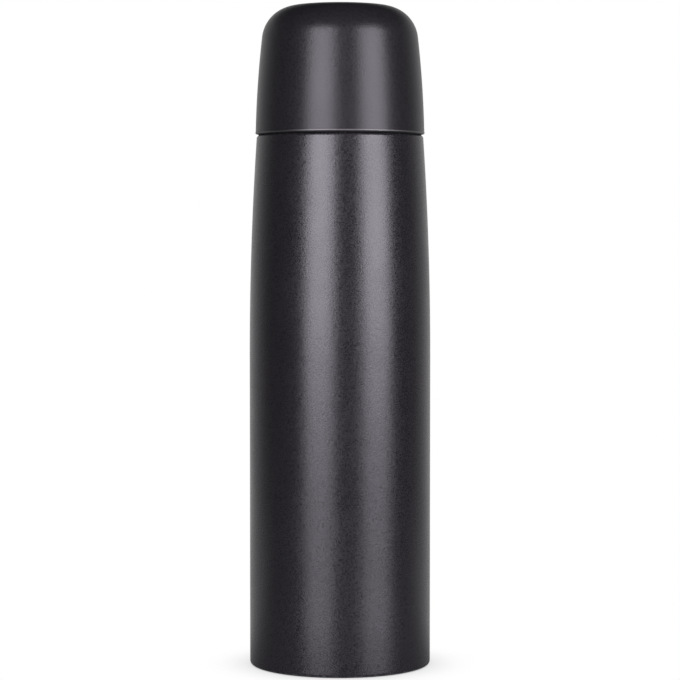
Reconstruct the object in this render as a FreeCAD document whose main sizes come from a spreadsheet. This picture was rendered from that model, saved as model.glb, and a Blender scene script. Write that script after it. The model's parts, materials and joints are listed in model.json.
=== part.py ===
import FreeCAD, Part
import math
import os
import re

import Sketcher
from FreeCAD import Placement, Rotation, Vector

# Half-litre vacuum flask, in millimetres. +Z is up, the flask stands on z = 0 and its axis is Z.
# From outside in: powder-coated steel shell, vacuum, steel vessel; a screw stopper with a
# push-button valve and a side release; and a screw cup with a moulded liner.

# Driving sizes: (name, value, meaning). Everything else is worked out from these.
SIZES = [
    ("body_radius", 34.0, "outside of the straight wall"),
    ("straight_height", 116.0, "top of the straight wall, where the taper starts"),
    ("shoulder_height", 199.1, "flat shoulder that the cup sits over"),
    ("shoulder_taper", 2.8, "how far the wall draws in up to the shoulder"),
    ("shoulder_round", 1.2, "outer rounding of the shoulder"),
    ("shoulder_ledge", 4.7, "from the shoulder's outer edge in to the neck"),
    ("neck_height", 20.4, "shoulder up to the top of the mouth"),
    ("neck_root_round", 0.8, "fillet where the neck leaves the shoulder"),
    ("lip_width", 3.7, "rounded mouth lip, neck outside to bore"),
    ("shell_sheet", 0.4, "steel sheet of the outer shell"),
    ("foot_round", 1.3, "rounding at the foot"),
    ("foot_ledge", 3.2, "turned-in rim that the flask stands on"),
    ("vessel_sheet", 0.4, "steel sheet of the inner vessel"),
    ("vacuum_gap", 2.6, "shell to vessel, in the straight part"),
    ("vessel_floor", 9.0, "lower edge of the inner vessel's wall"),
    ("vessel_floor_sag", 2.0, "crown of the inner vessel's bottom"),
    ("vessel_floor_flange", 3.0, "overlap of bottom and wall, where they are welded"),
    ("vessel_knuckle", 5.0, "rounding between the vessel's bottom and wall"),
    ("vessel_shoulder_rise", 18.0, "height of the vessel's sloping shoulder"),
    ("vessel_shoulder_round", 12.0, "rounding of wall into the sloping shoulder"),
    ("throat_round", 5.0, "rounding of the sloping shoulder into the throat"),
    ("throat_length", 6.5, "straight bore below the gasket's seat"),
    ("seat_width", 3.0, "radial width of the gasket's conical seat"),
    ("seat_rise", 1.4, "seat's lower edge above the shoulder"),
    ("foil_sheet", 0.15, "radiation foil"),
    ("foil_margin", 6.0, "foil's ends from the ends of the straight vessel wall"),
    ("plate_height", 1.6, "base plate above the ground"),
    ("plate_flange", 4.4, "height of the base plate's welded flange"),
    ("recess_radius", 22.0, "recess under the base plate, at its roof"),
    ("recess_depth", 1.4, "depth of that recess"),
    ("cover_sheet", 0.8, "disc that closes the recess"),
    ("cover_clearance", 0.6, "disc to the recess's wall"),
    ("dimple_radius", 4.6, "evacuation dimple"),
    ("dimple_depth", 1.4, "depth of the dimple"),
    ("glass_radius", 2.76, "solder-glass bead that closes the hole"),
    ("glass_height", 0.84, "that bead below the dimple's roof"),
    ("evacuation_radius", 0.9, "hole the air was drawn through"),
    ("getter_offset", 13.5, "getter's distance from the axis"),
    ("getter_radius", 4.0, "getter pill"),
    ("getter_thickness", 1.6, "getter pill"),
    ("holder_sheet", 0.3, "sheet of the getter's holder"),
    ("holder_rim", 1.0, "welded rim of the getter's holder"),
    ("holder_crimp", 0.6, "holder's edge turned in over the pill"),
    ("thread_lead", 5.0, "rise in one turn, both threads"),
    ("thread_turns", 2.0, "full turns of each ridge"),
    ("thread_depth", 1.3, "height of each ridge"),
    ("thread_clearance", 0.4, "ridge crest to the facing wall"),
    ("ridge_root", 2.6, "width of a ridge at its root"),
    ("ridge_crest", 1.4, "width of a ridge at its crest"),
    ("ridge_fade", 0.12, "part of a turn in which a ridge runs out"),
    ("ridge_bite", 0.2, "depth to which a ridge is joined into its wall"),
    ("thread_start", 4.4, "first turn of the neck's outer thread above the shoulder"),
    ("fit_gap", 0.1, "parts that seat on each other"),
    ("cut_margin", 1.0, "cutting outlines beyond the walls they cut"),
    ("moving_gap", 0.3, "parts that slide past each other"),
    ("cup_overhang", 0.45, "cup's rim outside the shoulder's edge"),
    ("cup_gap", 0.45, "cup's rim above the shoulder"),
    ("cup_height", 48.55, "cup's rim to its top"),
    ("cup_crown", 1.9, "rise of the domed top"),
    ("cup_draw", 3.77, "how far the cup's wall draws in up to the dome"),
    ("cup_side_round", 392.0, "radius of the bowed wall"),
    ("cup_corner_round", 13.1, "rounding of wall into dome"),
    ("cup_sheet", 0.4, "steel sheet of the cup"),
    ("cup_bead", 0.42, "radius of the rolled rim"),
    ("bead_inset", 0.3, "centre of the rolled rim inside the wall's outside"),
    ("liner_gap", 0.2, "cup's shell to its liner"),
    ("liner_wall", 1.4, "moulded liner"),
    ("collar_height", 16.0, "threaded part of the liner"),
    ("collar_bevel", 1.0, "sloping top of the threaded part"),
    ("liner_bow", 0.6, "draw of the liner's bowed wall up to that slope"),
    ("seat_ring_height", 1.35, "soft ring between cup and shoulder"),
    ("seat_ring_gap", 0.15, "soft ring to the rolled rim"),
    ("flange_gap", 0.5, "stopper's flange above the mouth"),
    ("flange_cover", 1.4, "stopper's flange beyond the bore"),
    ("flange_height", 6.0, "grip of the stopper"),
    ("flange_round", 1.0, "rounding of the flange"),
    ("flute_radius", 1.5, "grip flutes"),
    ("flute_depth", 0.7, "grip flutes"),
    ("flute_count", 24.0, "grip flutes"),
    ("deck_thickness", 2.5, "top plate of the stopper"),
    ("skirt_wall", 2.1, "threaded skirt of the stopper"),
    ("skirt_gap", 1.5, "skirt's lower edge above the gasket's seat"),
    ("plug_clearance", 0.4, "plug to the throat"),
    ("plug_depth", 10.0, "plug below the seat"),
    ("plug_floor", 2.0, "floor that carries the valve's seat"),
    ("plug_wall", 1.6, "wall of the plug"),
    ("plug_socket", 4.0, "plug's tube inside the skirt"),
    ("tube_gap", 1.45, "skirt's bore to the plug's tube"),
    ("snap_bead_height", 1.5, "bead by which the plug's tube snaps into the skirt"),
    ("snap_bead_drop", 1.0, "that bead's top below the tube's end"),
    ("gasket_lift", 0.25, "gasket's underside above the seat's lower edge"),
    ("gasket_bevel", 1.4, "height of the gasket's sloping upper edge"),
    ("valve_hole", 8.0, "radius of the pouring hole"),
    ("valve_cover", 3.0, "valve plate beyond the pouring hole"),
    ("valve_plate_sheet", 2.0, "valve plate"),
    ("valve_boss_radius", 3.4, "boss that holds the stem"),
    ("valve_boss_height", 4.0, "boss that holds the stem"),
    ("seal_height", 1.0, "soft ring on the valve plate"),
    ("seal_width", 4.4, "soft ring on the valve plate"),
    ("seal_margin", 0.4, "soft ring inside the valve plate's edge"),
    ("stem_radius", 2.0, "valve stem"),
    ("stem_clearance", 0.1, "stem in its sleeve"),
    ("stem_socket", 1.0, "stem into the valve plate"),
    ("pour_gap", 5.0, "skirt to the button's housing, where the drink flows"),
    ("housing_wall", 1.4, "button's housing"),
    ("housing_floor", 1.6, "button's housing"),
    ("housing_depth", 15.5, "housing's floor below the deck"),
    ("sleeve_radius", 4.4, "sleeve around the stem"),
    ("sleeve_above", 6.0, "sleeve above the housing's underside"),
    ("sleeve_below", 4.0, "sleeve below the housing's underside"),
    ("oring_section", 0.7, "radius of the stem's ring section"),
    ("groove_lip", 0.7, "sleeve below the ring's groove"),
    ("groove_room", 0.14, "groove beyond the ring, above and below"),
    ("spoke_width", 1.6, "spokes between housing and skirt"),
    ("spoke_height", 3.0, "spokes between housing and skirt"),
    ("spoke_drop", 10.5, "underside of the spokes below the deck"),
    ("spoke_count", 4.0, "spokes between housing and skirt"),
    ("spoke_rim", 1.0, "rim on the spokes' ends, bonded in the skirt"),
    ("port_width", 3.0, "pouring ports in the deck"),
    ("port_angle", 70.0, "pouring ports in the deck, degrees"),
    ("port_inset", 0.8, "ports inside the skirt's bore"),
    ("port_count", 2.0, "pouring ports in the deck"),
    ("button_travel", 4.0, "button's stroke, which leaves it flush"),
    ("button_wall", 1.5, "button's skirt"),
    ("button_top", 2.2, "button's top"),
    ("button_dish", 0.5, "hollow of the button's top"),
    ("button_round", 0.8, "rounding of the button's edge"),
    ("button_lip", 1.3, "lip that keeps the button in"),
    ("button_lip_gap", 0.8, "lip to the housing"),
    ("button_lip_height", 1.4, "lip that keeps the button in"),
    ("button_lip_drop", 6.5, "underside of the lip below the deck"),
    ("window_gap", 0.4, "button to its windows in the deck and the release"),
    ("hub_radius", 4.0, "hub that holds the stem"),
    ("hub_lift", 2.0, "hub's end above the lip's underside"),
    ("hub_cover", 1.8, "solid hub above the stem's end"),
    ("spring_radius", 6.3, "button's spring, to the middle of the wire"),
    ("spring_wire", 0.8, "wire of the button's spring"),
    ("spring_turns", 6.0, "turns of the button's spring"),
    ("release_travel", 1.5, "stroke of the release"),
    ("release_sheet", 1.8, "release's plate"),
    ("release_ring", 2.5, "release's ring around the button"),
    ("release_width", 11.0, "release's tab"),
    ("release_proud", 1.7, "tab beyond the flange"),
    ("release_round", 2.0, "corners of the tab"),
    ("release_boss_radius", 1.65, "boss that holds the release's spring"),
    ("release_boss_length", 2.5, "boss that holds the release's spring"),
    ("release_bore_depth", 1.9, "bore that the release's spring stands in"),
    ("release_spring_radius", 0.9, "release's spring, to the middle of the wire"),
    ("release_spring_wire", 0.3, "wire of the release's spring"),
    ("release_spring_turns", 4.0, "turns of the release's spring"),
]
SIZE_NAMES = {name for name, number, meaning in SIZES}

# Radii, outside in. Each is an expression in the driving sizes.
SHELL_BORE = "(body_radius - shell_sheet)"
FOOT_BORE = "(body_radius - foot_ledge)"
SHOULDER_RADIUS = "(body_radius - shoulder_taper)"
NECK_RADIUS = f"({SHOULDER_RADIUS} - shoulder_ledge)"
NECK_INSIDE = f"({NECK_RADIUS} - shell_sheet)"
BORE = f"({NECK_RADIUS} - lip_width)"
BORE_OUTSIDE = f"({BORE} + vessel_sheet)"
LIP_MIDDLE = f"({NECK_RADIUS} - lip_width / 2)"
THROAT = f"({BORE} - seat_width)"
THROAT_OUTSIDE = f"({THROAT} + vessel_sheet)"
VESSEL_OUTSIDE = f"({SHELL_BORE} - vacuum_gap)"
VESSEL_BORE = f"({VESSEL_OUTSIDE} - vessel_sheet)"
COLLAR_BORE = f"({NECK_RADIUS} + thread_depth + thread_clearance)"
CUP_RIM = f"({SHOULDER_RADIUS} + cup_overhang)"
CUP_BORE = f"({CUP_RIM} - cup_sheet)"
CUP_TOP_RADIUS = f"({CUP_RIM} - cup_draw)"
BEAD_MIDDLE = f"({CUP_RIM} - bead_inset)"
BEAD_BORE = f"({BEAD_MIDDLE} - cup_bead)"
FLANGE_RADIUS = f"({BORE} + flange_cover)"
SKIRT_RADIUS = f"({BORE} - thread_depth - thread_clearance)"
SKIRT_BORE = f"({SKIRT_RADIUS} - skirt_wall)"
PLUG_RADIUS = f"({THROAT} - plug_clearance)"
PLUG_TUBE = f"({SKIRT_BORE} - tube_gap)"
PLUG_TUBE_BORE = f"({PLUG_TUBE} - plug_wall)"
HOUSING_RADIUS = f"({SKIRT_BORE} - pour_gap)"
HOUSING_BORE = f"({HOUSING_RADIUS} - housing_wall)"
BUTTON_LIP_RADIUS = f"({HOUSING_BORE} - button_lip_gap)"
BUTTON_RADIUS = f"({BUTTON_LIP_RADIUS} - button_lip)"
BUTTON_BORE = f"({BUTTON_RADIUS} - button_wall)"
WINDOW_RADIUS = f"({BUTTON_RADIUS} + window_gap)"
VALVE_PLATE_RADIUS = "(valve_hole + valve_cover)"

# Heights, from the ground up.
LIP_LOW = "(shoulder_height + neck_height - lip_width / 2)"
MOUTH_TOP = "(shoulder_height + neck_height)"
THREAD_RISE = "(thread_lead * (thread_turns + ridge_fade) + ridge_root / 2)"
MOUTH_THREAD_ROOM = f"({THREAD_RISE} + thread_lead * ridge_fade + ridge_root / 2 + fit_gap)"
SEAT_LOW = f"min(shoulder_height + seat_rise; {LIP_LOW} - {MOUTH_THREAD_ROOM} - seat_width)"
SEAT_HIGH = f"({SEAT_LOW} + seat_width)"
THROAT_LOW = f"({SEAT_LOW} - throat_length)"
CUP_THREAD_START = f"min(shoulder_height + thread_start; {LIP_LOW} - {THREAD_RISE})"
MOUTH_THREAD_START = f"({SEAT_HIGH} + ridge_root / 2 + thread_lead * ridge_fade + fit_gap)"
VESSEL_SHOULDER = f"({THROAT_LOW} - vessel_shoulder_rise)"
RECESS_ROOF = "(plate_height + recess_depth)"
DIMPLE_ROOF = f"({RECESS_ROOF} + dimple_depth)"
CUP_LOW = "(shoulder_height + cup_gap)"
CUP_TOP = f"({CUP_LOW} + cup_height)"
CUP_CORNER = f"({CUP_TOP} - cup_crown)"
RING_LOW = "(shoulder_height + fit_gap / 2)"
RING_TOP = f"({RING_LOW} + seat_ring_height)"
LINER_LOW = f"({RING_TOP} + fit_gap)"
COLLAR_TOP = f"({LINER_LOW} + collar_height)"
FLANGE_LOW = f"({MOUTH_TOP} + flange_gap)"
DECK_TOP = f"({FLANGE_LOW} + flange_height)"
DECK_LOW = f"({DECK_TOP} - deck_thickness)"
SKIRT_LOW = f"({SEAT_HIGH} + skirt_gap)"
GASKET_LOW = f"({SEAT_LOW} + gasket_lift)"
GASKET_TOP = f"({SKIRT_LOW} - fit_gap)"
PLUG_SHOULDER = f"({GASKET_LOW} - fit_gap)"
PLUG_LOW = f"({SEAT_LOW} - plug_depth)"
PLUG_FLOOR = f"({PLUG_LOW} + plug_floor)"
PLUG_TOP = f"({SKIRT_LOW} + plug_socket)"
SEAL_LOW = f"({PLUG_LOW} - fit_gap - seal_height)"
RELEASE_TOP = f"({DECK_LOW} - moving_gap)"
RELEASE_LOW = f"({RELEASE_TOP} - release_sheet)"
HOUSING_TOP = f"({RELEASE_LOW} - moving_gap)"
HOUSING_LOW = f"({DECK_LOW} - housing_depth)"
HOUSING_FLOOR = f"({HOUSING_LOW} + housing_floor)"
SLEEVE_LOW = f"({HOUSING_LOW} - sleeve_below)"
GROOVE_LOW = f"({SLEEVE_LOW} + groove_lip)"
GROOVE_HIGH = f"({GROOVE_LOW} + 2 * oring_section + 2 * groove_room)"
SPOKE_LOW = f"({DECK_LOW} - spoke_drop)"
BUTTON_HIGH = f"({DECK_TOP} + button_travel)"
BUTTON_ROOF = f"({BUTTON_HIGH} - button_top)"
LIP_UNDERSIDE = f"({DECK_LOW} - button_lip_drop)"
HUB_LOW = f"({LIP_UNDERSIDE} + hub_lift)"
BOSS_FACE = f"({HOUSING_RADIUS} + moving_gap + release_boss_length)"
SPRING_AXIS = f"({RELEASE_TOP} - release_boss_radius)"
STEM_LOW = f"({SEAL_LOW} - stem_socket)"
STEM_TOP = f"({BUTTON_ROOF} - hub_cover)"

TOLERANCE = 0.01  # for finding an edge by its place

doc = FreeCAD.newDocument("VacuumFlask")
sheet = doc.addObject("Spreadsheet::Sheet", "Sizes")
for row, (size_name, number, meaning) in enumerate(SIZES, start=1):
    sheet.set(f"A{row}", size_name)
    sheet.set(f"B{row}", str(number))
    sheet.setAlias(f"B{row}", size_name)
    sheet.set(f"C{row}", meaning)
doc.recompute()
pieces = []


# ---- Shared ways of making a piece ----

def value(expression):
    """Number that an expression in the driving sizes stands for."""
    return float(sheet.evalExpression(expression))


def bound(expression):
    """The same expression, as another object's property has to write it."""
    def qualify(word):
        return f"Sizes.{word.group()}" if word.group() in SIZE_NAMES else word.group()
    return re.sub(r"[A-Za-z_]\w*", qualify, expression)


def bind(thing, prop, expression):
    thing.setExpression(prop, bound(expression))


def level_arc(half_width, rise):
    """Radius of the arc that is level, or upright, at one end, for its half width and rise."""
    return f"((({half_width})^2 + ({rise})^2) / (2 * ({rise})))"


def new_body(name):
    body = doc.addObject("PartDesign::Body", name)
    body.Label = name
    pieces.append(body)
    return body


def new_sketch(body, name, plane="XZ_Plane", height=None):
    """Sketch on one of the body's own origin planes, lifted by height where that is given."""
    base = [feature for feature in body.Origin.OriginFeatures if feature.Role == plane][0]
    sketch = body.newObject("Sketcher::SketchObject", name)
    sketch.AttachmentSupport = (base, [""])
    sketch.MapMode = "FlatFace"
    if height is not None:
        bind(sketch, "AttachmentOffset.Base.z", height)
    return sketch


def pin_point(sketch, curve, end, point):
    """Hold one end of a curve at a point given by two expressions."""
    for axis, kind, expression in ((-2, "DistanceX", point[0]), (-1, "DistanceY", point[1])):
        if expression == "0":
            sketch.addConstraint(Sketcher.Constraint("PointOnObject", curve, end, axis))
            continue
        rule = Sketcher.Constraint(kind, -1, 1, curve, end, value(expression))
        bind(sketch, f"Constraints[{sketch.addConstraint(rule)}]", expression)


def add_outline(sketch, path):
    """Closed outline through the points of path. A (radius, side) pair marked "arc" between two
    points makes that stretch an arc, with its centre on that side of the way along."""
    points = []
    arcs = {}
    for step in path:
        if step[0] == "arc":
            arcs[len(points) - 1] = step[1:]
        else:
            points.append(step)
    ends = []
    for index, start in enumerate(points):
        first = Vector(value(start[0]), value(start[1]), 0)
        finish = points[(index + 1) % len(points)]
        last = Vector(value(finish[0]), value(finish[1]), 0)
        if index not in arcs:
            ends.append((sketch.addGeometry(Part.LineSegment(first, last), False), 1, 2))
            continue
        radius, side = arcs[index]
        turn = 1 if side == "left" else -1
        along = last - first
        reach = math.sqrt(value(radius) ** 2 - along.Length ** 2 / 4)
        square = Vector(-along.y, along.x, 0).normalize()
        centre = (first + last) * 0.5 + square * (turn * reach)
        low, high = (first, last) if turn > 0 else (last, first)
        low_angle = math.atan2(low.y - centre.y, low.x - centre.x)
        high_angle = math.atan2(high.y - centre.y, high.x - centre.x)
        circle = Part.Circle(centre, Vector(0, 0, 1), value(radius))
        curve = sketch.addGeometry(Part.ArcOfCircle(circle, low_angle, high_angle), False)
        rule = sketch.addConstraint(Sketcher.Constraint("Radius", curve, value(radius)))
        bind(sketch, f"Constraints[{rule}]", radius)
        ends.append((curve, 1, 2) if turn > 0 else (curve, 2, 1))
    for index, (curve, start, finish) in enumerate(ends):
        following = ends[(index + 1) % len(ends)]
        sketch.addConstraint(Sketcher.Constraint("Coincident", curve, finish, following[0], following[1]))
        pin_point(sketch, curve, start, points[index])


def add_circle(sketch, radius, centre=("0", "0")):
    middle = Vector(value(centre[0]), value(centre[1]), 0)
    curve = sketch.addGeometry(Part.Circle(middle, Vector(0, 0, 1), value(radius)), False)
    rule = sketch.addConstraint(Sketcher.Constraint("Radius", curve, value(radius)))
    bind(sketch, f"Constraints[{rule}]", radius)
    pin_point(sketch, curve, 3, centre)


def turn_outline(body, name, path, kind="Revolution"):
    """Turn a closed outline, given as (radius, height) points, about the body's axis."""
    sketch = new_sketch(body, f"{name}_outline")
    add_outline(sketch, path)
    feature = body.newObject(f"PartDesign::{kind}", name)
    feature.Profile = sketch
    feature.ReferenceAxis = (sketch, ["V_Axis"])
    feature.Angle = 360
    doc.recompute()
    return feature


def extrude(body, name, sketch, length, kind="Pad", both_ways=False):
    feature = body.newObject(f"PartDesign::{kind}", name)
    feature.Profile = sketch
    feature.Midplane = both_ways
    bind(feature, "Length", length)
    doc.recompute()
    return feature


def repeat_round(body, name, feature, count):
    """Repeat a feature evenly about the body's axis."""
    pattern = body.newObject("PartDesign::PolarPattern", name)
    pattern.Originals = [feature]
    axis = [item for item in body.Origin.OriginFeatures if item.Role == "Z_Axis"][0]
    pattern.Axis = (axis, [""])
    pattern.Angle = 360
    pattern.Occurrences = count
    body.Tip = pattern
    doc.recompute()
    return pattern


def round_edges(body, name, radius, places):
    """Fillet the round edges at the given (radius, height) places."""
    base = body.Tip
    wanted = [(value(across), value(height)) for across, height in places]
    names = []
    for number, edge in enumerate(base.Shape.Edges, start=1):
        if edge.Degenerated or not isinstance(edge.Curve, Part.Circle):
            continue
        for across, height in wanted:
            aside = abs(edge.Curve.Radius - across)
            above = abs(edge.Curve.Center.z - height)
            if max(aside, above) < TOLERANCE:
                names.append(f"Edge{number}")
    if len(names) < len(places):
        raise RuntimeError(f"{body.Label}: {name} finds {len(names)} of {len(places)} edges")
    fillet = body.newObject("PartDesign::Fillet", name)
    fillet.Base = (base, names)
    bind(fillet, "Radius", radius)
    doc.recompute()
    return fillet


def helix_feature(body, name, sketch, turns, growth="0", back=False):
    feature = body.newObject("PartDesign::AdditiveHelix", name)
    feature.Profile = sketch
    feature.ReferenceAxis = (sketch, ["V_Axis"])
    feature.Mode = "height-turns-growth"
    feature.LeftHanded = False
    feature.Reversed = back
    bind(feature, "Height", f"thread_lead * {turns}")
    bind(feature, "Turns", turns)
    bind(feature, "Growth", growth)
    doc.recompute()
    return feature


def add_thread(body, wall, crest, start):
    """Right-hand ridge on a round wall, which runs out into the wall at both ends."""
    outward = value(crest) > value(wall)
    root = f"({wall} {'-' if outward else '+'} ridge_bite)"
    sink = f"(({wall} - {crest}) / ridge_fade)"
    sections = []
    for end, lift in (("low", "0"), ("high", "thread_lead * thread_turns")):
        sketch = new_sketch(body, f"thread_{end}_section")
        middle = f"({start} + {lift})"
        add_outline(sketch, [
            (root, f"{middle} - ridge_root / 2"), (crest, f"{middle} - ridge_crest / 2"),
            (crest, f"{middle} + ridge_crest / 2"), (root, f"{middle} + ridge_root / 2")])
        sections.append(sketch)
    helix_feature(body, "thread", sections[0], "thread_turns")
    helix_feature(body, "thread_run_in", sections[0], "ridge_fade", sink, back=True)
    helix_feature(body, "thread_run_out", sections[1], "ridge_fade", sink)


def add_coil(body, name, radius, wire, low, high, turns):
    """Coil spring between two heights."""
    sketch = new_sketch(body, f"{name}_wire")
    add_circle(sketch, f"{wire} / 2", (radius, f"{low} + {wire} / 2"))
    coil = body.newObject("PartDesign::AdditiveHelix", name)
    coil.Profile = sketch
    coil.ReferenceAxis = (sketch, ["V_Axis"])
    coil.Mode = "height-turns-angle"
    bind(coil, "Height", f"{high} - {low} - {wire}")
    bind(coil, "Turns", turns)
    doc.recompute()
    return coil


# ---- Flask: shell, vessel and what lies between them ----

def make_outer_shell():
    body = new_body("outer_shell")
    taper = level_arc("shoulder_height - straight_height", "shoulder_taper")
    inner_taper = level_arc("shoulder_height - shell_sheet - straight_height", "shoulder_taper")
    inner_shoulder = f"({SHOULDER_RADIUS} - shell_sheet)"
    turn_outline(body, "shell", [
        (FOOT_BORE, "0"), ("body_radius", "0"), ("body_radius", "straight_height"),
        ("arc", taper, "left"), (SHOULDER_RADIUS, "shoulder_height"),
        (NECK_RADIUS, "shoulder_height"), (NECK_RADIUS, LIP_LOW),
        ("arc", "lip_width / 2", "left"), (LIP_MIDDLE, MOUTH_TOP),
        (LIP_MIDDLE, f"{MOUTH_TOP} - shell_sheet"), ("arc", "lip_width / 2 - shell_sheet", "right"),
        (NECK_INSIDE, LIP_LOW), (NECK_INSIDE, "shoulder_height - shell_sheet"),
        (inner_shoulder, "shoulder_height - shell_sheet"), ("arc", inner_taper, "right"),
        (SHELL_BORE, "straight_height"), (SHELL_BORE, "shell_sheet"), (FOOT_BORE, "shell_sheet")])
    round_edges(body, "foot", "foot_round", [("body_radius", "0")])
    round_edges(body, "foot_inside", "foot_round - shell_sheet", [(SHELL_BORE, "shell_sheet")])
    round_edges(body, "shoulder", "shoulder_round", [(SHOULDER_RADIUS, "shoulder_height")])
    round_edges(body, "neck_root", "neck_root_round", [(NECK_RADIUS, "shoulder_height")])
    add_thread(body, NECK_RADIUS, f"({NECK_RADIUS} + thread_depth)", CUP_THREAD_START)
    clear_vacuum(body, NECK_INSIDE, "shell_sheet", "right")


def clear_vacuum(body, wall, sheet_name, side):
    """Cut away what a ridge's run-outs leave inside the neck's hollow wall."""
    top = f"({MOUTH_TOP} - {sheet_name})"
    turn_outline(body, "vacuum_side", [
        (wall, SEAT_LOW), (LIP_MIDDLE, SEAT_LOW), (LIP_MIDDLE, top),
        ("arc", f"lip_width / 2 - {sheet_name}", side), (wall, LIP_LOW)], "Groove")


def make_inner_vessel():
    body = new_body("inner_vessel")
    # Outside a 45 degree cone of even sheet, the corner is this much lower than inside.
    corner_drop = "((sqrt(2) - 1) * vessel_sheet)"
    seat_outside = f"({SEAT_LOW} - {corner_drop})"
    seat_outside_high = f"({seat_outside} + seat_width)"
    turn_outline(body, "vessel", [
        (VESSEL_BORE, "vessel_floor"), (VESSEL_BORE, VESSEL_SHOULDER), (THROAT, THROAT_LOW),
        (THROAT, SEAT_LOW), (BORE, SEAT_HIGH), (BORE, LIP_LOW),
        ("arc", "lip_width / 2", "right"), (LIP_MIDDLE, MOUTH_TOP),
        (LIP_MIDDLE, f"{MOUTH_TOP} - vessel_sheet"), ("arc", "lip_width / 2 - vessel_sheet", "left"),
        (BORE_OUTSIDE, LIP_LOW), (BORE_OUTSIDE, seat_outside_high), (THROAT_OUTSIDE, seat_outside),
        (THROAT_OUTSIDE, THROAT_LOW), (VESSEL_OUTSIDE, VESSEL_SHOULDER),
        (VESSEL_OUTSIDE, "vessel_floor")])
    round_edges(body, "shoulder_inside", "vessel_shoulder_round - vessel_sheet",
                [(VESSEL_BORE, VESSEL_SHOULDER)])
    round_edges(body, "shoulder_outside", "vessel_shoulder_round", [(VESSEL_OUTSIDE, VESSEL_SHOULDER)])
    round_edges(body, "throat_inside", "throat_round", [(THROAT, THROAT_LOW)])
    round_edges(body, "throat_outside", "throat_round - vessel_sheet", [(THROAT_OUTSIDE, THROAT_LOW)])
    add_thread(body, BORE, f"({BORE} - thread_depth)", MOUTH_THREAD_START)
    clear_vacuum(body, BORE_OUTSIDE, "vessel_sheet", "left")


def make_inner_bottom():
    body = new_body("inner_bottom")
    flange_bore = f"({VESSEL_BORE} - vessel_sheet)"
    edge = "(vessel_floor + vessel_sheet)"
    turn_outline(body, "bottom", [
        ("0", f"{edge} - vessel_floor_sag - vessel_sheet"),
        ("arc", level_arc(VESSEL_BORE, "vessel_floor_sag"), "left"),
        (VESSEL_BORE, "vessel_floor"), (VESSEL_BORE, "vessel_floor + vessel_floor_flange + vessel_knuckle"),
        (flange_bore, "vessel_floor + vessel_floor_flange + vessel_knuckle"), (flange_bore, edge),
        ("arc", level_arc(flange_bore, "vessel_floor_sag"), "right"), ("0", f"{edge} - vessel_floor_sag")])
    round_edges(body, "knuckle_inside", "vessel_knuckle - vessel_sheet", [(flange_bore, edge)])
    round_edges(body, "knuckle", "vessel_knuckle", [(VESSEL_BORE, "vessel_floor")])


def make_radiation_foil():
    body = new_body("radiation_foil")
    inside = f"({VESSEL_OUTSIDE} + fit_gap / 2)"
    outside = f"({inside} + foil_sheet)"
    low = "(vessel_floor + foil_margin)"
    high = f"({VESSEL_SHOULDER} - foil_margin - vessel_shoulder_round / 2)"
    turn_outline(body, "foil", [(inside, low), (outside, low), (outside, high), (inside, high)])


def make_outer_base():
    body = new_body("outer_base")
    top = "(plate_height + plate_flange)"
    inside = f"({SHELL_BORE} - shell_sheet)"
    step = "(recess_radius + recess_depth)"
    turn_outline(body, "plate", [
        (SHELL_BORE, top), (SHELL_BORE, "plate_height"), (step, "plate_height"),
        ("recess_radius", RECESS_ROOF), ("dimple_radius + dimple_depth", RECESS_ROOF),
        ("dimple_radius", DIMPLE_ROOF), ("evacuation_radius", DIMPLE_ROOF),
        ("evacuation_radius", f"{DIMPLE_ROOF} + shell_sheet"),
        ("dimple_radius", f"{DIMPLE_ROOF} + shell_sheet"),
        ("dimple_radius + dimple_depth", f"{RECESS_ROOF} + shell_sheet"),
        ("recess_radius", f"{RECESS_ROOF} + shell_sheet"), (step, "plate_height + shell_sheet"),
        (inside, "plate_height + shell_sheet"), (inside, top)])
    round_edges(body, "corner", "foot_round", [(SHELL_BORE, "plate_height")])
    round_edges(body, "corner_inside", "foot_round - shell_sheet", [(inside, "plate_height + shell_sheet")])


def make_base_cover():
    body = new_body("base_cover")
    radius = "(recess_radius - cover_clearance)"
    low = f"({RECESS_ROOF} - cover_sheet)"
    turn_outline(body, "disc", [("0", low), (radius, low), (radius, RECESS_ROOF), ("0", RECESS_ROOF)])
    round_edges(body, "rim", "cover_sheet / 2", [(radius, low)])


def make_vacuum_seal():
    body = new_body("vacuum_seal")
    high = f"({DIMPLE_ROOF} + shell_sheet)"
    turn_outline(body, "bead", [
        ("0", f"{DIMPLE_ROOF} - glass_height"), ("arc", level_arc("glass_radius", "glass_height"), "left"),
        ("glass_radius", DIMPLE_ROOF), ("evacuation_radius", DIMPLE_ROOF), ("evacuation_radius", high),
        ("0", high)])


def place_getter(piece):
    bind(piece, "Placement.Base.x", "getter_offset")
    bind(piece, "Placement.Base.z", f"{RECESS_ROOF} + shell_sheet")


def make_getter_holder():
    body = new_body("getter_holder")
    radius = "(getter_radius + holder_sheet)"
    high = "(getter_thickness + 2 * holder_sheet)"
    turn_outline(body, "cup", [
        ("0", "0"), (f"{radius} + holder_rim", "0"), (f"{radius} + holder_rim", "holder_sheet"),
        (radius, "holder_sheet"), (radius, high), ("getter_radius - holder_crimp", high),
        ("getter_radius - holder_crimp", f"{high} - holder_sheet"),
        ("getter_radius", f"{high} - holder_sheet"), ("getter_radius", "holder_sheet"),
        ("0", "holder_sheet")])
    place_getter(body)


def make_getter_pill():
    pill = doc.addObject("Part::Cylinder", "getter_pill")
    pill.Label = "getter_pill"
    bind(pill, "Radius", "getter_radius")
    bind(pill, "Height", "getter_thickness")
    bind(pill, "Placement.Base.x", "getter_offset")
    bind(pill, "Placement.Base.z", f"{RECESS_ROOF} + shell_sheet + holder_sheet")
    pieces.append(pill)


# ---- Stopper ----

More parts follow.
